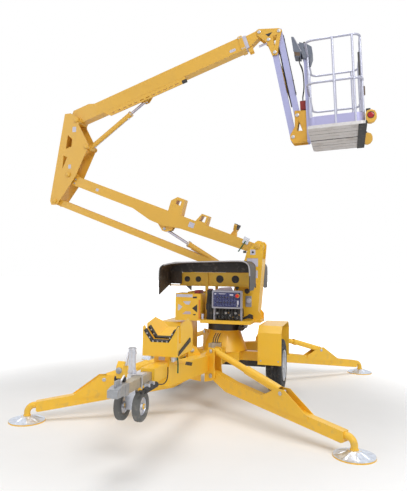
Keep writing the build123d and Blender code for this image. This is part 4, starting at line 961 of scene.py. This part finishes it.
    def valves(self) -> None:
        """The valve bank under the panel, and the hoses and fittings round it."""
        spots = range(-20, 300, 42)
        bank = [brick(GROUND, (x - 17, x + 17), (-440, -404), (1010, 1108), 3) for x in spots]
        self.add("valve_bank", bank, DARK, 2)
        coil = [(13, 0), (13, 20), (5, 22), (5, 30), (2, 31)]
        self.add("valve_coils", [lathe(GROUND.moved(x, -422, 1108), coil, 16) for x in spots], BLACK)
        rings = [lathe(GROUND.moved(x, -441, z, "-y"), [(7, 0), (13, 0), (13, 6), (7, 6)], 20, True)
                 for x, z in ((0, 1080), (66, 1040), (112, 1086), (176, 1052), (240, 1088), (262, 1030))]
        self.add("valve_rings", rings, BOLT_STEEL)
        plugs = [lathe(GROUND.moved(x, -441, z, "-y"), [(9, 0), (9, 9), (5, 14), (2, 15)], 8)
                 for x, z in ((24, 1040), (150, 1090), (206, 1034), (286, 1066))]
        self.add("valve_plugs", plugs, BRASS)
        drops = [hose(GROUND, [(x, -442, 1060), (x - 4, -468, 1052), (x + 10, -480, 1026),
                               (x + 26, -466, 1006), (x + 30, -430, 1000)], 7.5, 24) for x in spots]
        rises = [hose(GROUND, [(x, -392 - 9 * (k % 3), 994), (x + 8 * (-1) ** k, -400, 1080),
                               (x - 6, -396, 1180), (x + 9, -402, 1290), (x + 4 * k, -380, 1372)], 8)
                 for k, x in enumerate(range(-150, -52, 14))]
        sweeps = [hose(GROUND, [(300 + 8 * k, -300, 996 + 9 * k), (330 + 20 * k, -330, 1010 + 14 * k),
                                (380, -300 + 12 * k, 1020 + 16 * k), (420, -210, 1004 + 12 * k)], 8, 30)
                  for k in range(4)]
        self.add("valve_hoses", drops + rises + sweeps, RUBBER)
        band = lathe(GROUND.moved(90, -280, 1070, "+x"), [(76.5, 2), (78, 8), (78, 20), (76.5, 24)], 40)
        shifts = np.array([(x, 0, 0) for x in range(0, 190, 26)]) / MILLIS
        self.add("motor_bands", band.copies(shifts), BLACK)
        cap = [(32, 0), (36, 3), (36, 22), (28, 30), (3, 31)]
        self.add("tank_cap", lathe(GROUND.moved(75, 285, 1250), cap), DARK)
        self.add("white_block", brick(GROUND, (-218, -192), (-432, -412), (992, 1062), 3), DECAL_WHITE, 2)
        # A thin dark sheet behind the panel, above the valve bank: painted shade in the bay.
        self.add("bay_shade_sheet", brick(GROUND, (-165, 96), (-404, -401), (1118, 1190)), DARK)

    def build(self) -> None:
        """Makes everything on the turntable."""
        self.panel()
        self.gauges()
        self.batteries()
        self.valves()
        ring = [(218 * cos(a), 218 * sin(a)) for a in np.linspace(0, 2 * pi, 25)[:-1]]
        heads = bolts(GROUND.moved(0, 0, 990), [p for p in ring if abs(p[1]) < 112], 17)
        self.add("slew_bolts", heads, BOLT_STEEL)
        pins = [(463, 1959, 30), (249, 1566, 22), (330, 1464, 25)]
        self.add("upright_pin_caps", pin_heads(GROUND, pins, 141, WIDE_CAP, SIDES), BOOM_YELLOW)


@dataclass
class Riser(Section):
    """Fittings on the riser and on the knuckle over it."""

    body: str = "riser"

    def build(self) -> None:
        """Makes the hose rest's rubber, the latch with its handle, labels, pin caps and bolt heads."""
        fork = RISER.moved(387, 0, 110)
        cross = Basis(fork.origin, fork.y, fork.z, fork.x)
        pads = []
        for side in (-1, 1):
            a, b = np.array([side * 60, 0]), np.array([side * 110, 66])
            way = (b - a) / np.linalg.norm(b - a)
            out = np.array([-way[1], way[0]]) * side * 14
            pads.append(bar(cross, [a + way * 4, b, b + out, a + way * 4 + out], -24, 24))
        self.add("fork_pads", pads, RUBBER, 2)
        near = RISER.moved(0, 75, 0, "+y")
        latch = [bar(near.moved(-184, 16, 0), rounded(84, 96, 12), 0, 8),
                 bar(near.moved(-186, 6, 0), rounded(34, 60, 8), 8, 18)]
        self.add("riser_latch", latch, ZINC, 2)
        handle = [(-184, 8, 20), (-194, -30, 22), (-212, -100, 20), (-228, -160, 16)]
        self.add("latch_handle", hose(near, handle, 8, 20), HANDLE_GREEN)
        self.labels("riser_label", near, [(-992, -50, 84, 72), (-2560, -60, 46, 40)])
        ends = ((60, -20), (60, -70), (2960, -30), (2960, -90))
        heads = [bolts(RISER.moved(0, side * 75, 0, way), [(-side * x, z) for x, z in ends], 18)
                 for side, way in BOTH]
        self.add("riser_bolts", heads, BOLT_STEEL)
        self.body = "knuckle"
        pins = [(-2415, 3039, 30), (-2629, 2646, 22), (-2297, 3863, 30), (-2120, 3450, 25)]
        self.add("knuckle_pin_caps", pin_heads(GROUND, pins, 141, WIDE_CAP, SIDES), BOOM_YELLOW)
        plate = GROUND.moved(0, -130, 0, "-y")
        self.labels("knuckle_label", plate, [(-2330, 3720, 60, 80), (-2395, 3160, 44, 60)])


@dataclass
class Boom(Section):
    """Fittings on the main boom and on the lift cylinders."""

    body: str = "main_boom"

    def build(self) -> None:
        """Makes the mouth band, wear pad bolts, tray hoses, eye pins and lift pipes."""
        mouth = rim(BOOM.moved(0, 0, 50.5, "+x"), rounded(144, 185, 5), rounded(126, 167, 4), 2700, 2752)
        self.add("mouth_band", mouth, DECAL_WHITE)
        heads = [(2655, -30), (2685, -30), (2655, 132), (2685, 132)]
        self.add("wear_pad_bolts", bolts(BOOM.moved(0, -85, 0, "-y"), heads, 13), BOLT_STEEL)
        self.add("boom_label", bar(BOOM.moved(2520, -75, 8, "-y"), rounded(92, 40, 18), 0, 0.8), DECAL_WHITE)
        self.add("tray_mouth", brick(BOOM, (1700, 1775), (-76, -46), (-132, -88), 6), DARK, 2)
        runs = [tube(BOOM, [(x, y, z) for x in np.linspace(470, 1740, 8)], 7, 10)
                for y, z in ((-58, -62), (-66, -78))]
        self.add("tray_hoses", runs, RUBBER)
        self.add("boom_top_plate", brick(BOOM, (1020, 1160), (-44, 44), (146, 150), 10), BOOM_YELLOW)
        shape = [(0, 0), (0, 5), (-6, 7), (2, 7.5)]
        for name, base, pin, body in (("boom_eye_pin", BOOM, (1093, -116, 20), "main_boom"),
                                      ("riser_eye_pin", RISER, (1363.6, -240, 22), "riser")):
            self.add(name, pin_heads(base, [pin], 42, shape), CAST, body=body)
        lifts = (("riser", RISER_LIFT, 1012, 950), ("boom", BOOM_LIFT, 801, 740))
        for name, lift, x, length in lifts:
            band = lathe(lift.moved(x, 0, 0, "+x"), [(42, 0), (45, 3), (45, 13), (42, 16)])
            self.add(f"{name}_gland", band, BOLT_STEEL, body=f"{name}_barrel")
        for name, lift, x, length in lifts:
            line = [(x, -12, -44) for x in np.linspace(70, length, 6)]
            ends = [brick(lift, (x - 12, x + 12), (-22, -2), (-50, -36), 4) for x in (72, length)]
            self.add(f"{name}_lift_pipe", [tube(lift, line, 4.5, 10), *ends], ZINC, body=f"{name}_barrel")


@dataclass
class Jib(Section):
    """Pin caps, cable and hose on the jib's arms."""

    body: str = "jib_upper_arm"

    def build(self) -> None:
        """Makes the caps on the jib's pins, and the cable and hose along the upper arm."""
        shape = [(0, -2), (0, 3), (-5, 5), (2, 5.5)]
        pins = [(x, z, 23) for x, z in ((455, 4905), (585, 4785), (725, 4890), (672, 4600))]
        self.add("head_pin_caps", pin_heads(GROUND, pins, 82.5, shape), BOLT_STEEL, body="jib_head")
        caps = [pin_heads(arm, [(1206, 0, 23)], 82.5, shape) for arm in (UPPER_ARM, LOWER_ARM)]
        self.add("bracket_pin_caps", caps[0] + caps[1], BOLT_STEEL, body="platform")
        run = [(60, -40, 46), (140, -40, 47), (500, -46, 46), (760, -60, 46), (880, -66, 44), (930, -67, 43)]
        self.add("arm_cable", hose(UPPER_ARM, run, 5.5), RUBBER)
        clips = [brick(UPPER_ARM, (x - 9, x + 9), (-50 - d, -28 - d), (40, 53), 3)
                 for x, d in ((120, 0), (420, 5), (720, 18), (900, 26))]
        self.add("cable_clips", clips, DARK)
        inner = [(110, -30, -47), (300, -32, -49), (560, -34, -50), (860, -30, -48), (1060, -26, -47)]
        self.add("arm_hose", hose(UPPER_ARM, inner, 9), DARK)
        # A thin dark sheet in the head's window: painted shade, standing for the shaded inside of the
        # opening.
        window = bar(GROUND.moved(0, -76, 0, "-y"), [(540, 4862), (590, 4826), (636, 4886)], 0, 0.9)
        self.add("head_window_shade", window, DARK, body="jib_head", slot=Material.BLACK)


@dataclass
class Platform(Section):
    """Rails, deck, control box and lamps of the work platform."""

    body: str = "platform"
    rail_x: float = 326.0
    rail_y: float = 596.0
    gate_y: float = 288.0
    corner: float = 95.0

    def hoop(self, inset: float) -> np.ndarray:
        """The rail's way round the platform, from gate post to gate post.

        Straight runs are joined by quarter circles, c + r (cos a, sin a), and the whole is resampled evenly.

        Args:
            inset: How far in millimetres the way lies inside the rail's own line.

        Returns:
            Array of 200 points in the deck's X and Y.
        """
        turn = np.linspace(0, pi / 2, 9)
        x, y, end = self.rail_x - self.corner, self.rail_y - self.corner, self.rail_x - inset
        bends = ((x, -y, -turn), (-x, -y, -pi / 2 - turn), (-x, y, pi - turn), (x, y, pi / 2 - turn))
        arcs = [(px, py) + (self.corner - inset) * np.stack([np.cos(angle), np.sin(angle)], -1)
                for px, py, angle in bends]
        path = np.vstack([[(end, -self.gate_y)], *arcs, [(end, self.gate_y)]])
        run = np.concatenate([[0], np.cumsum(np.linalg.norm(np.diff(path, axis=0), axis=1))])
        even = np.linspace(0, run[-1], 200)
        return np.stack([np.interp(even, run, path[:, 0]), np.interp(even, run, path[:, 1])], -1)

    def rails(self) -> None:
        """Tubular rails with rounded corners, their posts, and the toe boards below."""
        line = self.hoop(0)
        hoops = [tube(DECK, level(line, z), 14.5, 14) for z in (570, 1105)]
        x, y = self.rail_x, self.rail_y
        posts = [(px, side * py) for px, py in ((0, y), (x, 501), (231, y), (x, self.gate_y), (-x, 130))
                 for side in (-1, 1)]
        bars = [lathe(DECK.moved(*post, 0), [(14, 38), (14, 1105)], 16) for post in posts]
        self.add("guard_rails", hoops + bars, RAIL_ALUMINIUM, stands_for=("platform_rails",), crease=60)
        board = np.vstack([self.hoop(-2), self.hoop(2)[::-1]])
        self.add("toe_boards", bar(DECK, board, 38, 150), TOE_ALUMINIUM, crease=60)
        clamp = [(19, -16), (21, -14), (21, 14), (19, 16)]
        clamps = [lathe(DECK.moved(*post, 570), clamp, 16) for post in posts[:6]]
        self.add("rail_clamps", clamps, RAIL_ALUMINIUM)

    def deck(self) -> None:
        """Fluted planks along the platform, with a gap midway, in a thin rim, and dark strips of painted
        shade in the gaps between planks.
        """
        width = 137
        across = np.linspace(0, width, 13)
        flutes = np.where(np.arange(13) % 4 < 2, 1.0, 11.0)
        planks = []
        for k in range(8):
            start = -604 + 151 * k + (4 if k < 4 else 10)
            flat = [(start + width, 37.5), (start, 37.5)]
            outline = np.vstack([np.column_stack([start + across, flutes]), flat])
            planks.append(bar(DECK.facing("+x"), outline, -338, 338))
        self.add("deck_planks", planks, DECK_ALUMINIUM, stands_for=("platform_deck",), crease=20)
        border = rim(DECK, rounded(686, 1226, 60, 9), rounded(676, 1216, 55, 9), -1, 38)
        self.add("deck_rim", border, DECK_ALUMINIUM)
        self.add("deck_floor", bar(DECK, rounded(674, 1214, 54, 9), 36, 38), DECK_ALUMINIUM)
        # Dark strips in the gaps between planks: painted shade, standing for the shade inside the gaps.
        gaps = ((0, 12, -0.5), (-302, 5, 1), (-453, 4, 3), (302, 5, 1), (453, 4, 3), (151, 4, 3))
        gap_shade_strips = [brick(DECK, (-337, 337), (y - half, y + half), (low, 36), 1) for y, half, low in gaps]
        self.add("deck_gap_shade", gap_shade_strips, DARK)

    def control(self) -> None:
        """The faceted control box over the mast, with its pale shields, recess, knob and cables."""
        face = DECK.facing("-y")
        box = [(-428, 1330), (-313, 1278), (-267, 1240), (-267, 1144), (-302, 1053), (-345, 1080),
               (-385, 1100), (-405, 1168), (-428, 1218)]
        side = [(-508, 1308), (-425, 1308), (-412, 1193), (-417, 1128), (-500, 1143)]
        self.add("control_box", [bar(face, box, -115, 115), bar(face, side, -60, 118)], BOX_GREY, 4,
                 stands_for=("platform_control",))
        recess = [(-500, 1218), (-428, 1213), (-422, 1138), (-492, 1147)]
        self.add("control_recess", bar(face, recess, 117, 121), BOX_BROWN, 1)
        shield = [(-530, 1410), (-515, 1414), (-500, 1400), (-405, 1191), (-424, 1183), (-508, 1206)]
        self.add("control_shields", [bar(face, shield, low, low + 5) for low in (119, -124)], BOX_GREY, 1)
        rims = [pill(DECK, (-500, y, 1404), (-404, y, 1192), 6) for y in (-122, 122)]
        self.add("shield_rims", rims, FRAME_GREY, slot=Material.GREY)
        knob = lathe(DECK.moved(-350, -115, 1240, "-y"), [(17, 0), (17, 8), (12, 14), (2, 15)], 24)
        self.add("control_knob", knob, DARK)
        stick = [(22, 0), (20, 14), (7, 22), (6, 50), (14, 58), (14, 74), (8, 84), (2, 85)]
        self.add("control_stick", lathe(DECK.moved(-372, 20, 1296), stick, 24), DARK)
        for k, y in enumerate((-70, -48, -30)):
            drop = [(-440, y, 1140), (-446, y - 6, 1060), (-402, y - 14, 960 + 30 * k), (-392, y - 10, 820),
                    (-396, y + 6, 690), (-420, y + 8, 600), (-418, y + 8, 552)]
            self.shop.cord(f"control_cable_{k}", DECK, smooth_line(drop, 60), 6.5, self.body)

    def lamps(self) -> None:
        """The tail lamps, the step's rubber, and the gate's damper and latch."""
        face = DECK.facing("-y")
        step = [brick(DECK, x, (-606, 606), (-13, high), 3)
                for x, high in (((258, 349), 0), ((343, 356), 36))]
        self.add("step_rubber", step, RUBBER, 2)
        case = [(345, 48), (345, 132), (362, 166), (412, 176), (452, 158), (470, 118), (470, 66), (442, 26),
                (400, 10), (366, 18)]
        cans = [bar(face, case, low, low + 62) for low in (498, -560)]
        self.add("lamp_cases", cans, BOOM_YELLOW, 6, stands_for=("tail_lamps",))
        spots = [DECK.moved(404, side * 560, 106, way) for side, way in BOTH]
        lens = [(36, 0), (36, 3), (24, 8), (12, 9), (2, 9)]
        self.add("lamp_lenses", [lathe(spot, lens, 40) for spot in spots], LENS_RED)
        ring = [(36, -1), (42, -1), (42, 4), (36, 5)]
        self.add("lamp_rings", [lathe(spot, ring, 40, True) for spot in spots], BLACK)
        caps = [brick(DECK, (352, 404), (side * 500, side * 556), (166, 190), 8) for side in (-1, 1)]
        self.add("lamp_caps", caps, RUBBER)
        damper = pill(DECK, (310, -470, 640), (310, -470, 920), 19)
        self.add("gate_damper", damper, JOCKEY_GREY, slot=Material.GREY)
        self.add("damper_ends", [pill(DECK, (310, -470, z), (326, -501, z), 9) for z in (650, 910)], DARK)
        latch = lathe(DECK.moved(350, -288, 500), [(5, -60), (17, -54), (17, 54), (5, 60)], 20)
        self.add("gate_latch", latch, BOX_BROWN, slot=Material.GREY)

    def build(self) -> None:
        """Makes the platform's fittings."""
        self.rails()
        self.deck()
        self.control()
        self.lamps()


@dataclass
class Tongue(Section):
    """The boom rest, jack, jockey wheels and coupler's fittings."""

    jack: tuple = (-76.0, -2950.0)
    jockey_z: float = 530.0

    def jockey(self) -> None:
        """Grey ribbed tyres on zinc rims with yellow hubs.

        The tyre's section is a rounded oblong; four rings are pressed in where the cosine peaks.
        """
        turn = np.linspace(0, 2 * pi, 96, endpoint=False)
        angle = np.linspace(0, 2 * pi, 72, endpoint=False)[:, None]
        across = 30.5 * np.sign(np.sin(angle)) * np.abs(np.sin(angle)) ** 0.55
        radius = 97 + 27.5 * np.sign(np.cos(angle)) * np.abs(np.cos(angle)) ** 0.7
        radius -= 2.4 * (radius > 112) * np.clip(np.cos(across * 2 * pi / 13) * 2 - 0.6, 0, 1)
        hubs = [GROUND.moved(self.jack[0] + side * 80, self.jack[1], self.jockey_z) for side in (-1, 1)]
        disc = [(13, -30), (26, -28), (30, -14), (68, -10), (72, -20), (74, 0), (72, 20), (68, 10), (30, 14),
                (26, 28), (13, 30)]
        cap = [(12, -34), (22, -34), (24, -29), (24, 29), (22, 34), (12, 34)]
        self.body = "jockey_wheels"
        self.add("jockey_tyres", [tyre(hub, across, radius, turn) for hub in hubs], JOCKEY_GREY,
                 stands_for=("jockey_wheels",), crease=60)
        self.add("jockey_hubs", [lathe(hub.facing("+x"), disc, 40, True) for hub in hubs], ZINC)
        self.add("jockey_caps", [lathe(hub.facing("+x"), cap, SIDES, True) for hub in hubs], YELLOW)
        self.body = "chassis"

    def rest(self) -> None:
        """Bolt heads in the rest's rubber pads, labels, the strap and the latch with its handle."""
        tilt = radians(11)
        out, up = np.array([0, cos(tilt), sin(tilt)]), np.array([0, -sin(tilt), cos(tilt)])
        front = Basis(GROUND.at((0, -2525, 1000)), np.array([1.0, 0, 0]), up, -out)
        spots = [(-66, -7), (-22, -7), (22, -7), (66, -7), (-97, 28), (-118, 66), (97, 28), (118, 66)]
        heads = [bolts(front.moved(0, 0, -2.6), spots, 9), bolts(front.moved(0, 0, -103.4), spots[4:], 9)]
        self.add("pad_bolts", heads, BOLT_STEEL)
        face = GROUND.moved(0, -2465, 0, "-y")
        for index, (x, z, wide, high, rise, look) in enumerate((
                (0, 840, 60, 46, 0.8, DECAL_WHITE), (10, 770, 62, 70, 0.8, DECAL_WHITE),
                (10, 796, 62, 10, 1.1, DECAL_PINK))):
            self.add(f"post_label_{index}", bar(face.moved(x, z, 0), rounded(wide, high, 3), 0, rise), look)
        shelf = GROUND.moved(92, -2430, 822)
        latch = [brick(shelf, (0, 26), (-46, 46), (-14, 40), 5),
                 pill(shelf, (12, -58, 22), (12, 58, 22), 11)]
        self.add("rest_latch", latch, ZINC, 2)
        grip = [(22, 40, 30), (34, 44, 10), (38, 46, -60), (36, 46, -128)]
        self.add("rest_handle", hose(shelf, grip, 7, 20), HANDLE_GREEN)
        strap = [(-200, 868), (-190, 906), (140, 990), (156, 952)]
        self.add("rest_strap", bar(GROUND.moved(166, -2290, 0, "+x"), strap, -1, 6), RUBBER)
        # A thin dark sheet on the tongue's side over a slot: painted shade, standing for the shade inside
        # it.
        slot = [(-2010, 700), (-1975, 726), (-1760, 680), (-1790, 650)]
        recess = bar(GROUND.moved(75.6, 0, 0, "+x"), slot, -1, 0.6)
        self.add("tongue_slot_shade", recess, DARK, slot=Material.BLACK)

    def nose(self) -> None:
        """The jack's cap and clamps, the coupler's lever, the tow plug with its lead, and the brake."""
        x, y = self.jack
        self.add("jack_cap", lathe(GROUND.moved(x, y, 993), [(33, -6), (33, 2), (24, 8), (2, 9)]), CAST,
                 slot=Material.GALVANISED)
        clamps = [lathe(GROUND.moved(x, y, z), [(30.6, -9), (36, -9), (36, 9), (30.6, 9)], 40, True)
                  for z in (742, 805, 955)]
        self.add("jack_clamps", clamps, ZINC)
        bends = [pill(GROUND, (s * 46, -3030, 690), (s * 46, -3030, 800), 6) for s in (-1, 1)]
        self.add("u_bolt", [*bends, pill(GROUND, (-52, -3030, 796), (52, -3030, 796), 6)], BOLT_STEEL)
        lever = [brick(GROUND.moved(0, -3380, 786, "+x"), (-6, 58), (0, 30), (-8, 8), 6),
                 pill(GROUND, (0, -3326, 806), (0, -3270, 838), 8)]
        self.add("coupler_lever", lever, ZINC, 2)
        can = [(20, -190), (25, -188), (25, 50), (19, 66), (11, 70), (11, 130), (2, 131)]
        self.add("plug_can", lathe(GROUND.moved(66, -2960, 672, "-y"), can), RUBBER)
        clips = [brick(GROUND, (38, 88), (middle - 10, middle + 10), (690, 716), 4)
                 for middle in (-2960, -2860)]
        self.add("plug_clips", clips, ZINC)
        loop = [(66, -2772, 672), (68, -2730, 666), (78, -2640, 640), (84, -2560, 650), (82, -2520, 700),
                (78, -2515, 770)]
        self.shop.cord("plug_lead", GROUND, smooth_line(loop, 40), 5, self.body)
        brake = GROUND.moved(-50, -3200, 870)
        cheek = [(-48, -62), (42, -70), (56, 0), (34, 52), (-20, 66), (-54, 24)]
        self.add("brake_cheek", bar(brake.facing("+x"), cheek, -26, 26), YELLOW, 3)
        arm = [(-10, 30), (26, 26), (52, 118), (34, 126)]
        self.add("brake_lever", bar(brake.facing("+x"), arm, 26, 36), ZINC, 2)
        self.add("brake_boss", lathe(brake.facing("-y"), [(24, 40), (24, 62), (15, 68), (2, 69)]), CAST)
        roller = lathe(GROUND.moved(-94, -3226, 800, "+x"), [(10, -2), (20, 0), (20, 84), (10, 86)])
        self.add("brake_roller", roller, RUBBER)

    def build(self) -> None:
        """Makes everything on the tongue."""
        self.jockey()
        self.rest()
        self.nose()


@dataclass
class Chassis(Section):
    """Small fittings on the trailer's frame."""

    def build(self) -> None:
        """Makes the manifold with its hoses, the bracket pin heads, and the worm's cover."""
        manifold = [brick(GROUND, (-110, 20), (-330, -262), (600, 680), 6),
                    brick(GROUND, (-150, -112), (-320, -270), (612, 668), 6)]
        self.add("manifold", manifold, TAN_ZINC, 3)
        pipes = [hose(GROUND, [(x, -300, 680), (x, -305, 720), (x + 14, -290, 760), (x + 30, -262, 800)],
                      6, 20) for x in (-90, -60, -30)]
        self.add("manifold_hoses", pipes, RUBBER)
        legs = Outriggers(self.shop)
        shape = [(7, -1), (7, 4), (2, 6), (2, 6.5)]
        caps = [pin_heads(legs.leg(*place), [(0, 430, 20), (0, 705, 16)], 71, shape)
                for _, *place in CORNERS]
        self.add("bracket_pin_heads", [head for heads in caps for head in heads], BOLT_STEEL)
        worm = GROUND.moved(255, 0, 870, "-y")
        self.add("worm_cover", lathe(worm.moved(0, 0, 130), [(44, 0), (44, 9), (36, 12), (2, 12.5)]), BLACK)
        spots = [(30, 0), (-30, 0), (0, 30), (0, -30)]
        self.add("worm_bolts", bolts(worm.moved(0, 0, 139), spots, 10), BOLT_STEEL)


@dataclass
class Studio:
    """Camera at the photograph's view, a pale floor, a white backdrop and soft lamps."""

    focal_px: float = 506.13
    height_px: float = 491.0
    place: tuple = (1.63017, -6.82266, 1.65316)
    yaw: float = 0.27909
    pitch: float = 0.04555
    roll: float = 0.01192
    sensor: float = 36.0
    floor_half: float = 60.0
    sky_light: float = 0.42

    def stand(self, name: str, data: bpy.types.ID, place: tuple, axes: list) -> bpy.types.Object:
        """Puts a camera or lamp in the scene, at a place and with its three axes."""
        item = bpy.data.objects.new(name, data)
        matrix = Matrix(np.column_stack(axes).tolist()).to_4x4()
        matrix.translation = place
        item.matrix_world = matrix
        bpy.context.scene.collection.objects.link(item)
        return item

    def camera(self) -> None:
        """Sets the camera from its place and its three turns."""
        level = np.array([-sin(self.yaw), cos(self.yaw), 0])
        side = np.array([cos(self.yaw), sin(self.yaw), 0])
        up = np.array([0, 0, 1.0])
        ahead = level * cos(self.pitch) + up * sin(self.pitch)
        above = up * cos(self.pitch) - level * sin(self.pitch)
        right = side * cos(self.roll) + above * sin(self.roll)
        top = above * cos(self.roll) - side * sin(self.roll)
        data = bpy.data.cameras.new("photo_camera")
        data.sensor_width, data.clip_end = self.sensor, 200
        data.lens = self.focal_px / self.height_px * self.sensor
        place = (SLEW + np.array(self.place)).tolist()
        bpy.context.scene.camera = self.stand("photo_camera", data, place, [right, top, -ahead])

    def lamp(self, name: str, place: tuple, aim: tuple, power: float, size: float) -> None:
        """Adds one square soft lamp."""
        data = bpy.data.lights.new(name, "AREA")
        data.energy, data.size = power, size
        away = np.array(place, float) - np.array(aim, float)
        away /= np.linalg.norm(away)
        side = np.cross((0, 0, 1), away)
        side /= np.linalg.norm(side)
        self.stand(name, data, place, [side, np.cross(away, side), away])

    def floor(self) -> None:
        """A wide pale floor, on which the camera sees white far from the lift."""
        shader = Shader("pale_floor")
        distance = shader.node("VectorMath", {0: shader.place}, operation="LENGTH").outputs["Value"]
        fade = Wire(shader, distance).between(2.2, 6.5) * shader.rays("Is Camera Ray")
        shader.put(shader.surface, {
            "Base Color": shader.blend(shader.noise(2, 3), (0.86, 0.86, 0.86, 1), (0.9, 0.9, 0.9, 1)),
            "Roughness": 0.9, "Emission Color": shader.blend(fade, (0, 0, 0, 1), (1, 1, 1, 1)),
            "Emission Strength": 1.0})
        mesh = bpy.data.meshes.new("floor")
        half = self.floor_half
        corners = [(-half, -half, 0), (half, -half, 0), (half, half, 0), (-half, half, 0)]
        mesh.from_pydata(corners, [], [(0, 1, 2, 3)])
        mesh.materials.append(shader.material)
        item = bpy.data.objects.new("floor", mesh)
        bpy.context.scene.collection.objects.link(item)

    def world(self) -> None:
        """White to the camera, in reflections and through glass, and softer as a light."""
        world = bpy.data.worlds.new("studio")
        bpy.context.scene.world = world
        world.use_nodes = True
        nodes = Nodes(world.node_tree)
        seen = nodes.rays("Is Camera Ray", "Is Glossy Ray", "Is Transmission Ray")
        strength = seen * (1 - self.sky_light) + self.sky_light
        light = nodes.node("Background", {"Color": (1, 1, 1, 1), "Strength": strength})
        nodes.node("OutputWorld", {"Surface": light.outputs[0]})

    def build(self) -> None:
        """Makes the whole studio."""
        self.camera()
        self.floor()
        self.world()
        self.lamp("key", (12, -15, 16), (0, 0, 1.8), 2100, 7)
        self.lamp("fill", (-14, -13, 8), (0, 0, 2.0), 420, 9)
        self.lamp("top", (1, 2, 20), (0, 0.5, 0), 1350, 9)
        bpy.context.scene.view_settings.view_transform = "Standard"


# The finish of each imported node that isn't yellow
NODE_LOOKS = (
    (RUBBER, "rest_pads"), (TAN_ZINC, "drawbar"), (CAST, "coupler"), (JOCKEY_GREY, "jockey_wheels"),
    (ZINC, "jack_tube jack_leg jockey_fork"), (BLACK, "axle slew_ring"), (HOOD_SHELL, "hood_near hood_far"),
    (TYRE_BLACK, "tyre_left tyre_right"), (WHEEL_GREY, "rim_left rim_right"), (DARK, "hydraulic_unit"),
    (BATTERY_RED, "batteries valve_block"), (FRAME_GREY, "control_panel"),
    (BOOM_YELLOW, "riser level_link knuckle riser_barrel boom_barrel main_boom cable_tray fly_boom"),
    (BOOM_YELLOW, "jib_head jib_barrel tail_lamps"), (CHROME, "riser_rod boom_rod level_rod jib_rod"),
    (CHROME, " ".join(f"outrigger_rod_{name}" for name, *_ in CORNERS)),
    (ALUMINIUM, "jib_upper_arm jib_lower_arm"), (BRACKET, "platform_bracket"),
    (DECK_ALUMINIUM, "platform_deck"), (RAIL_ALUMINIUM, "platform_rails gate"),
    (BOX_GREY, "platform_control"),
)


def main() -> None:
    """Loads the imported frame, dresses it, adds the fittings, and sets the studio."""
    logging.basicConfig(level=logging.INFO, format="%(name)s: %(message)s")
    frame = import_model()
    shop = Workshop()
    Studio().build()
    looks = {name: look for look, names in NODE_LOOKS for name in names.split()}
    shop.dress(frame["nodes"], {name: looks.get(name, YELLOW) for name in frame["nodes"]})
    for section in (Running, Outriggers, Hoods, Turntable, Riser, Boom, Jib, Platform, Tongue, Chassis):
        section(shop).build()


if __name__ == "__main__":
    main()
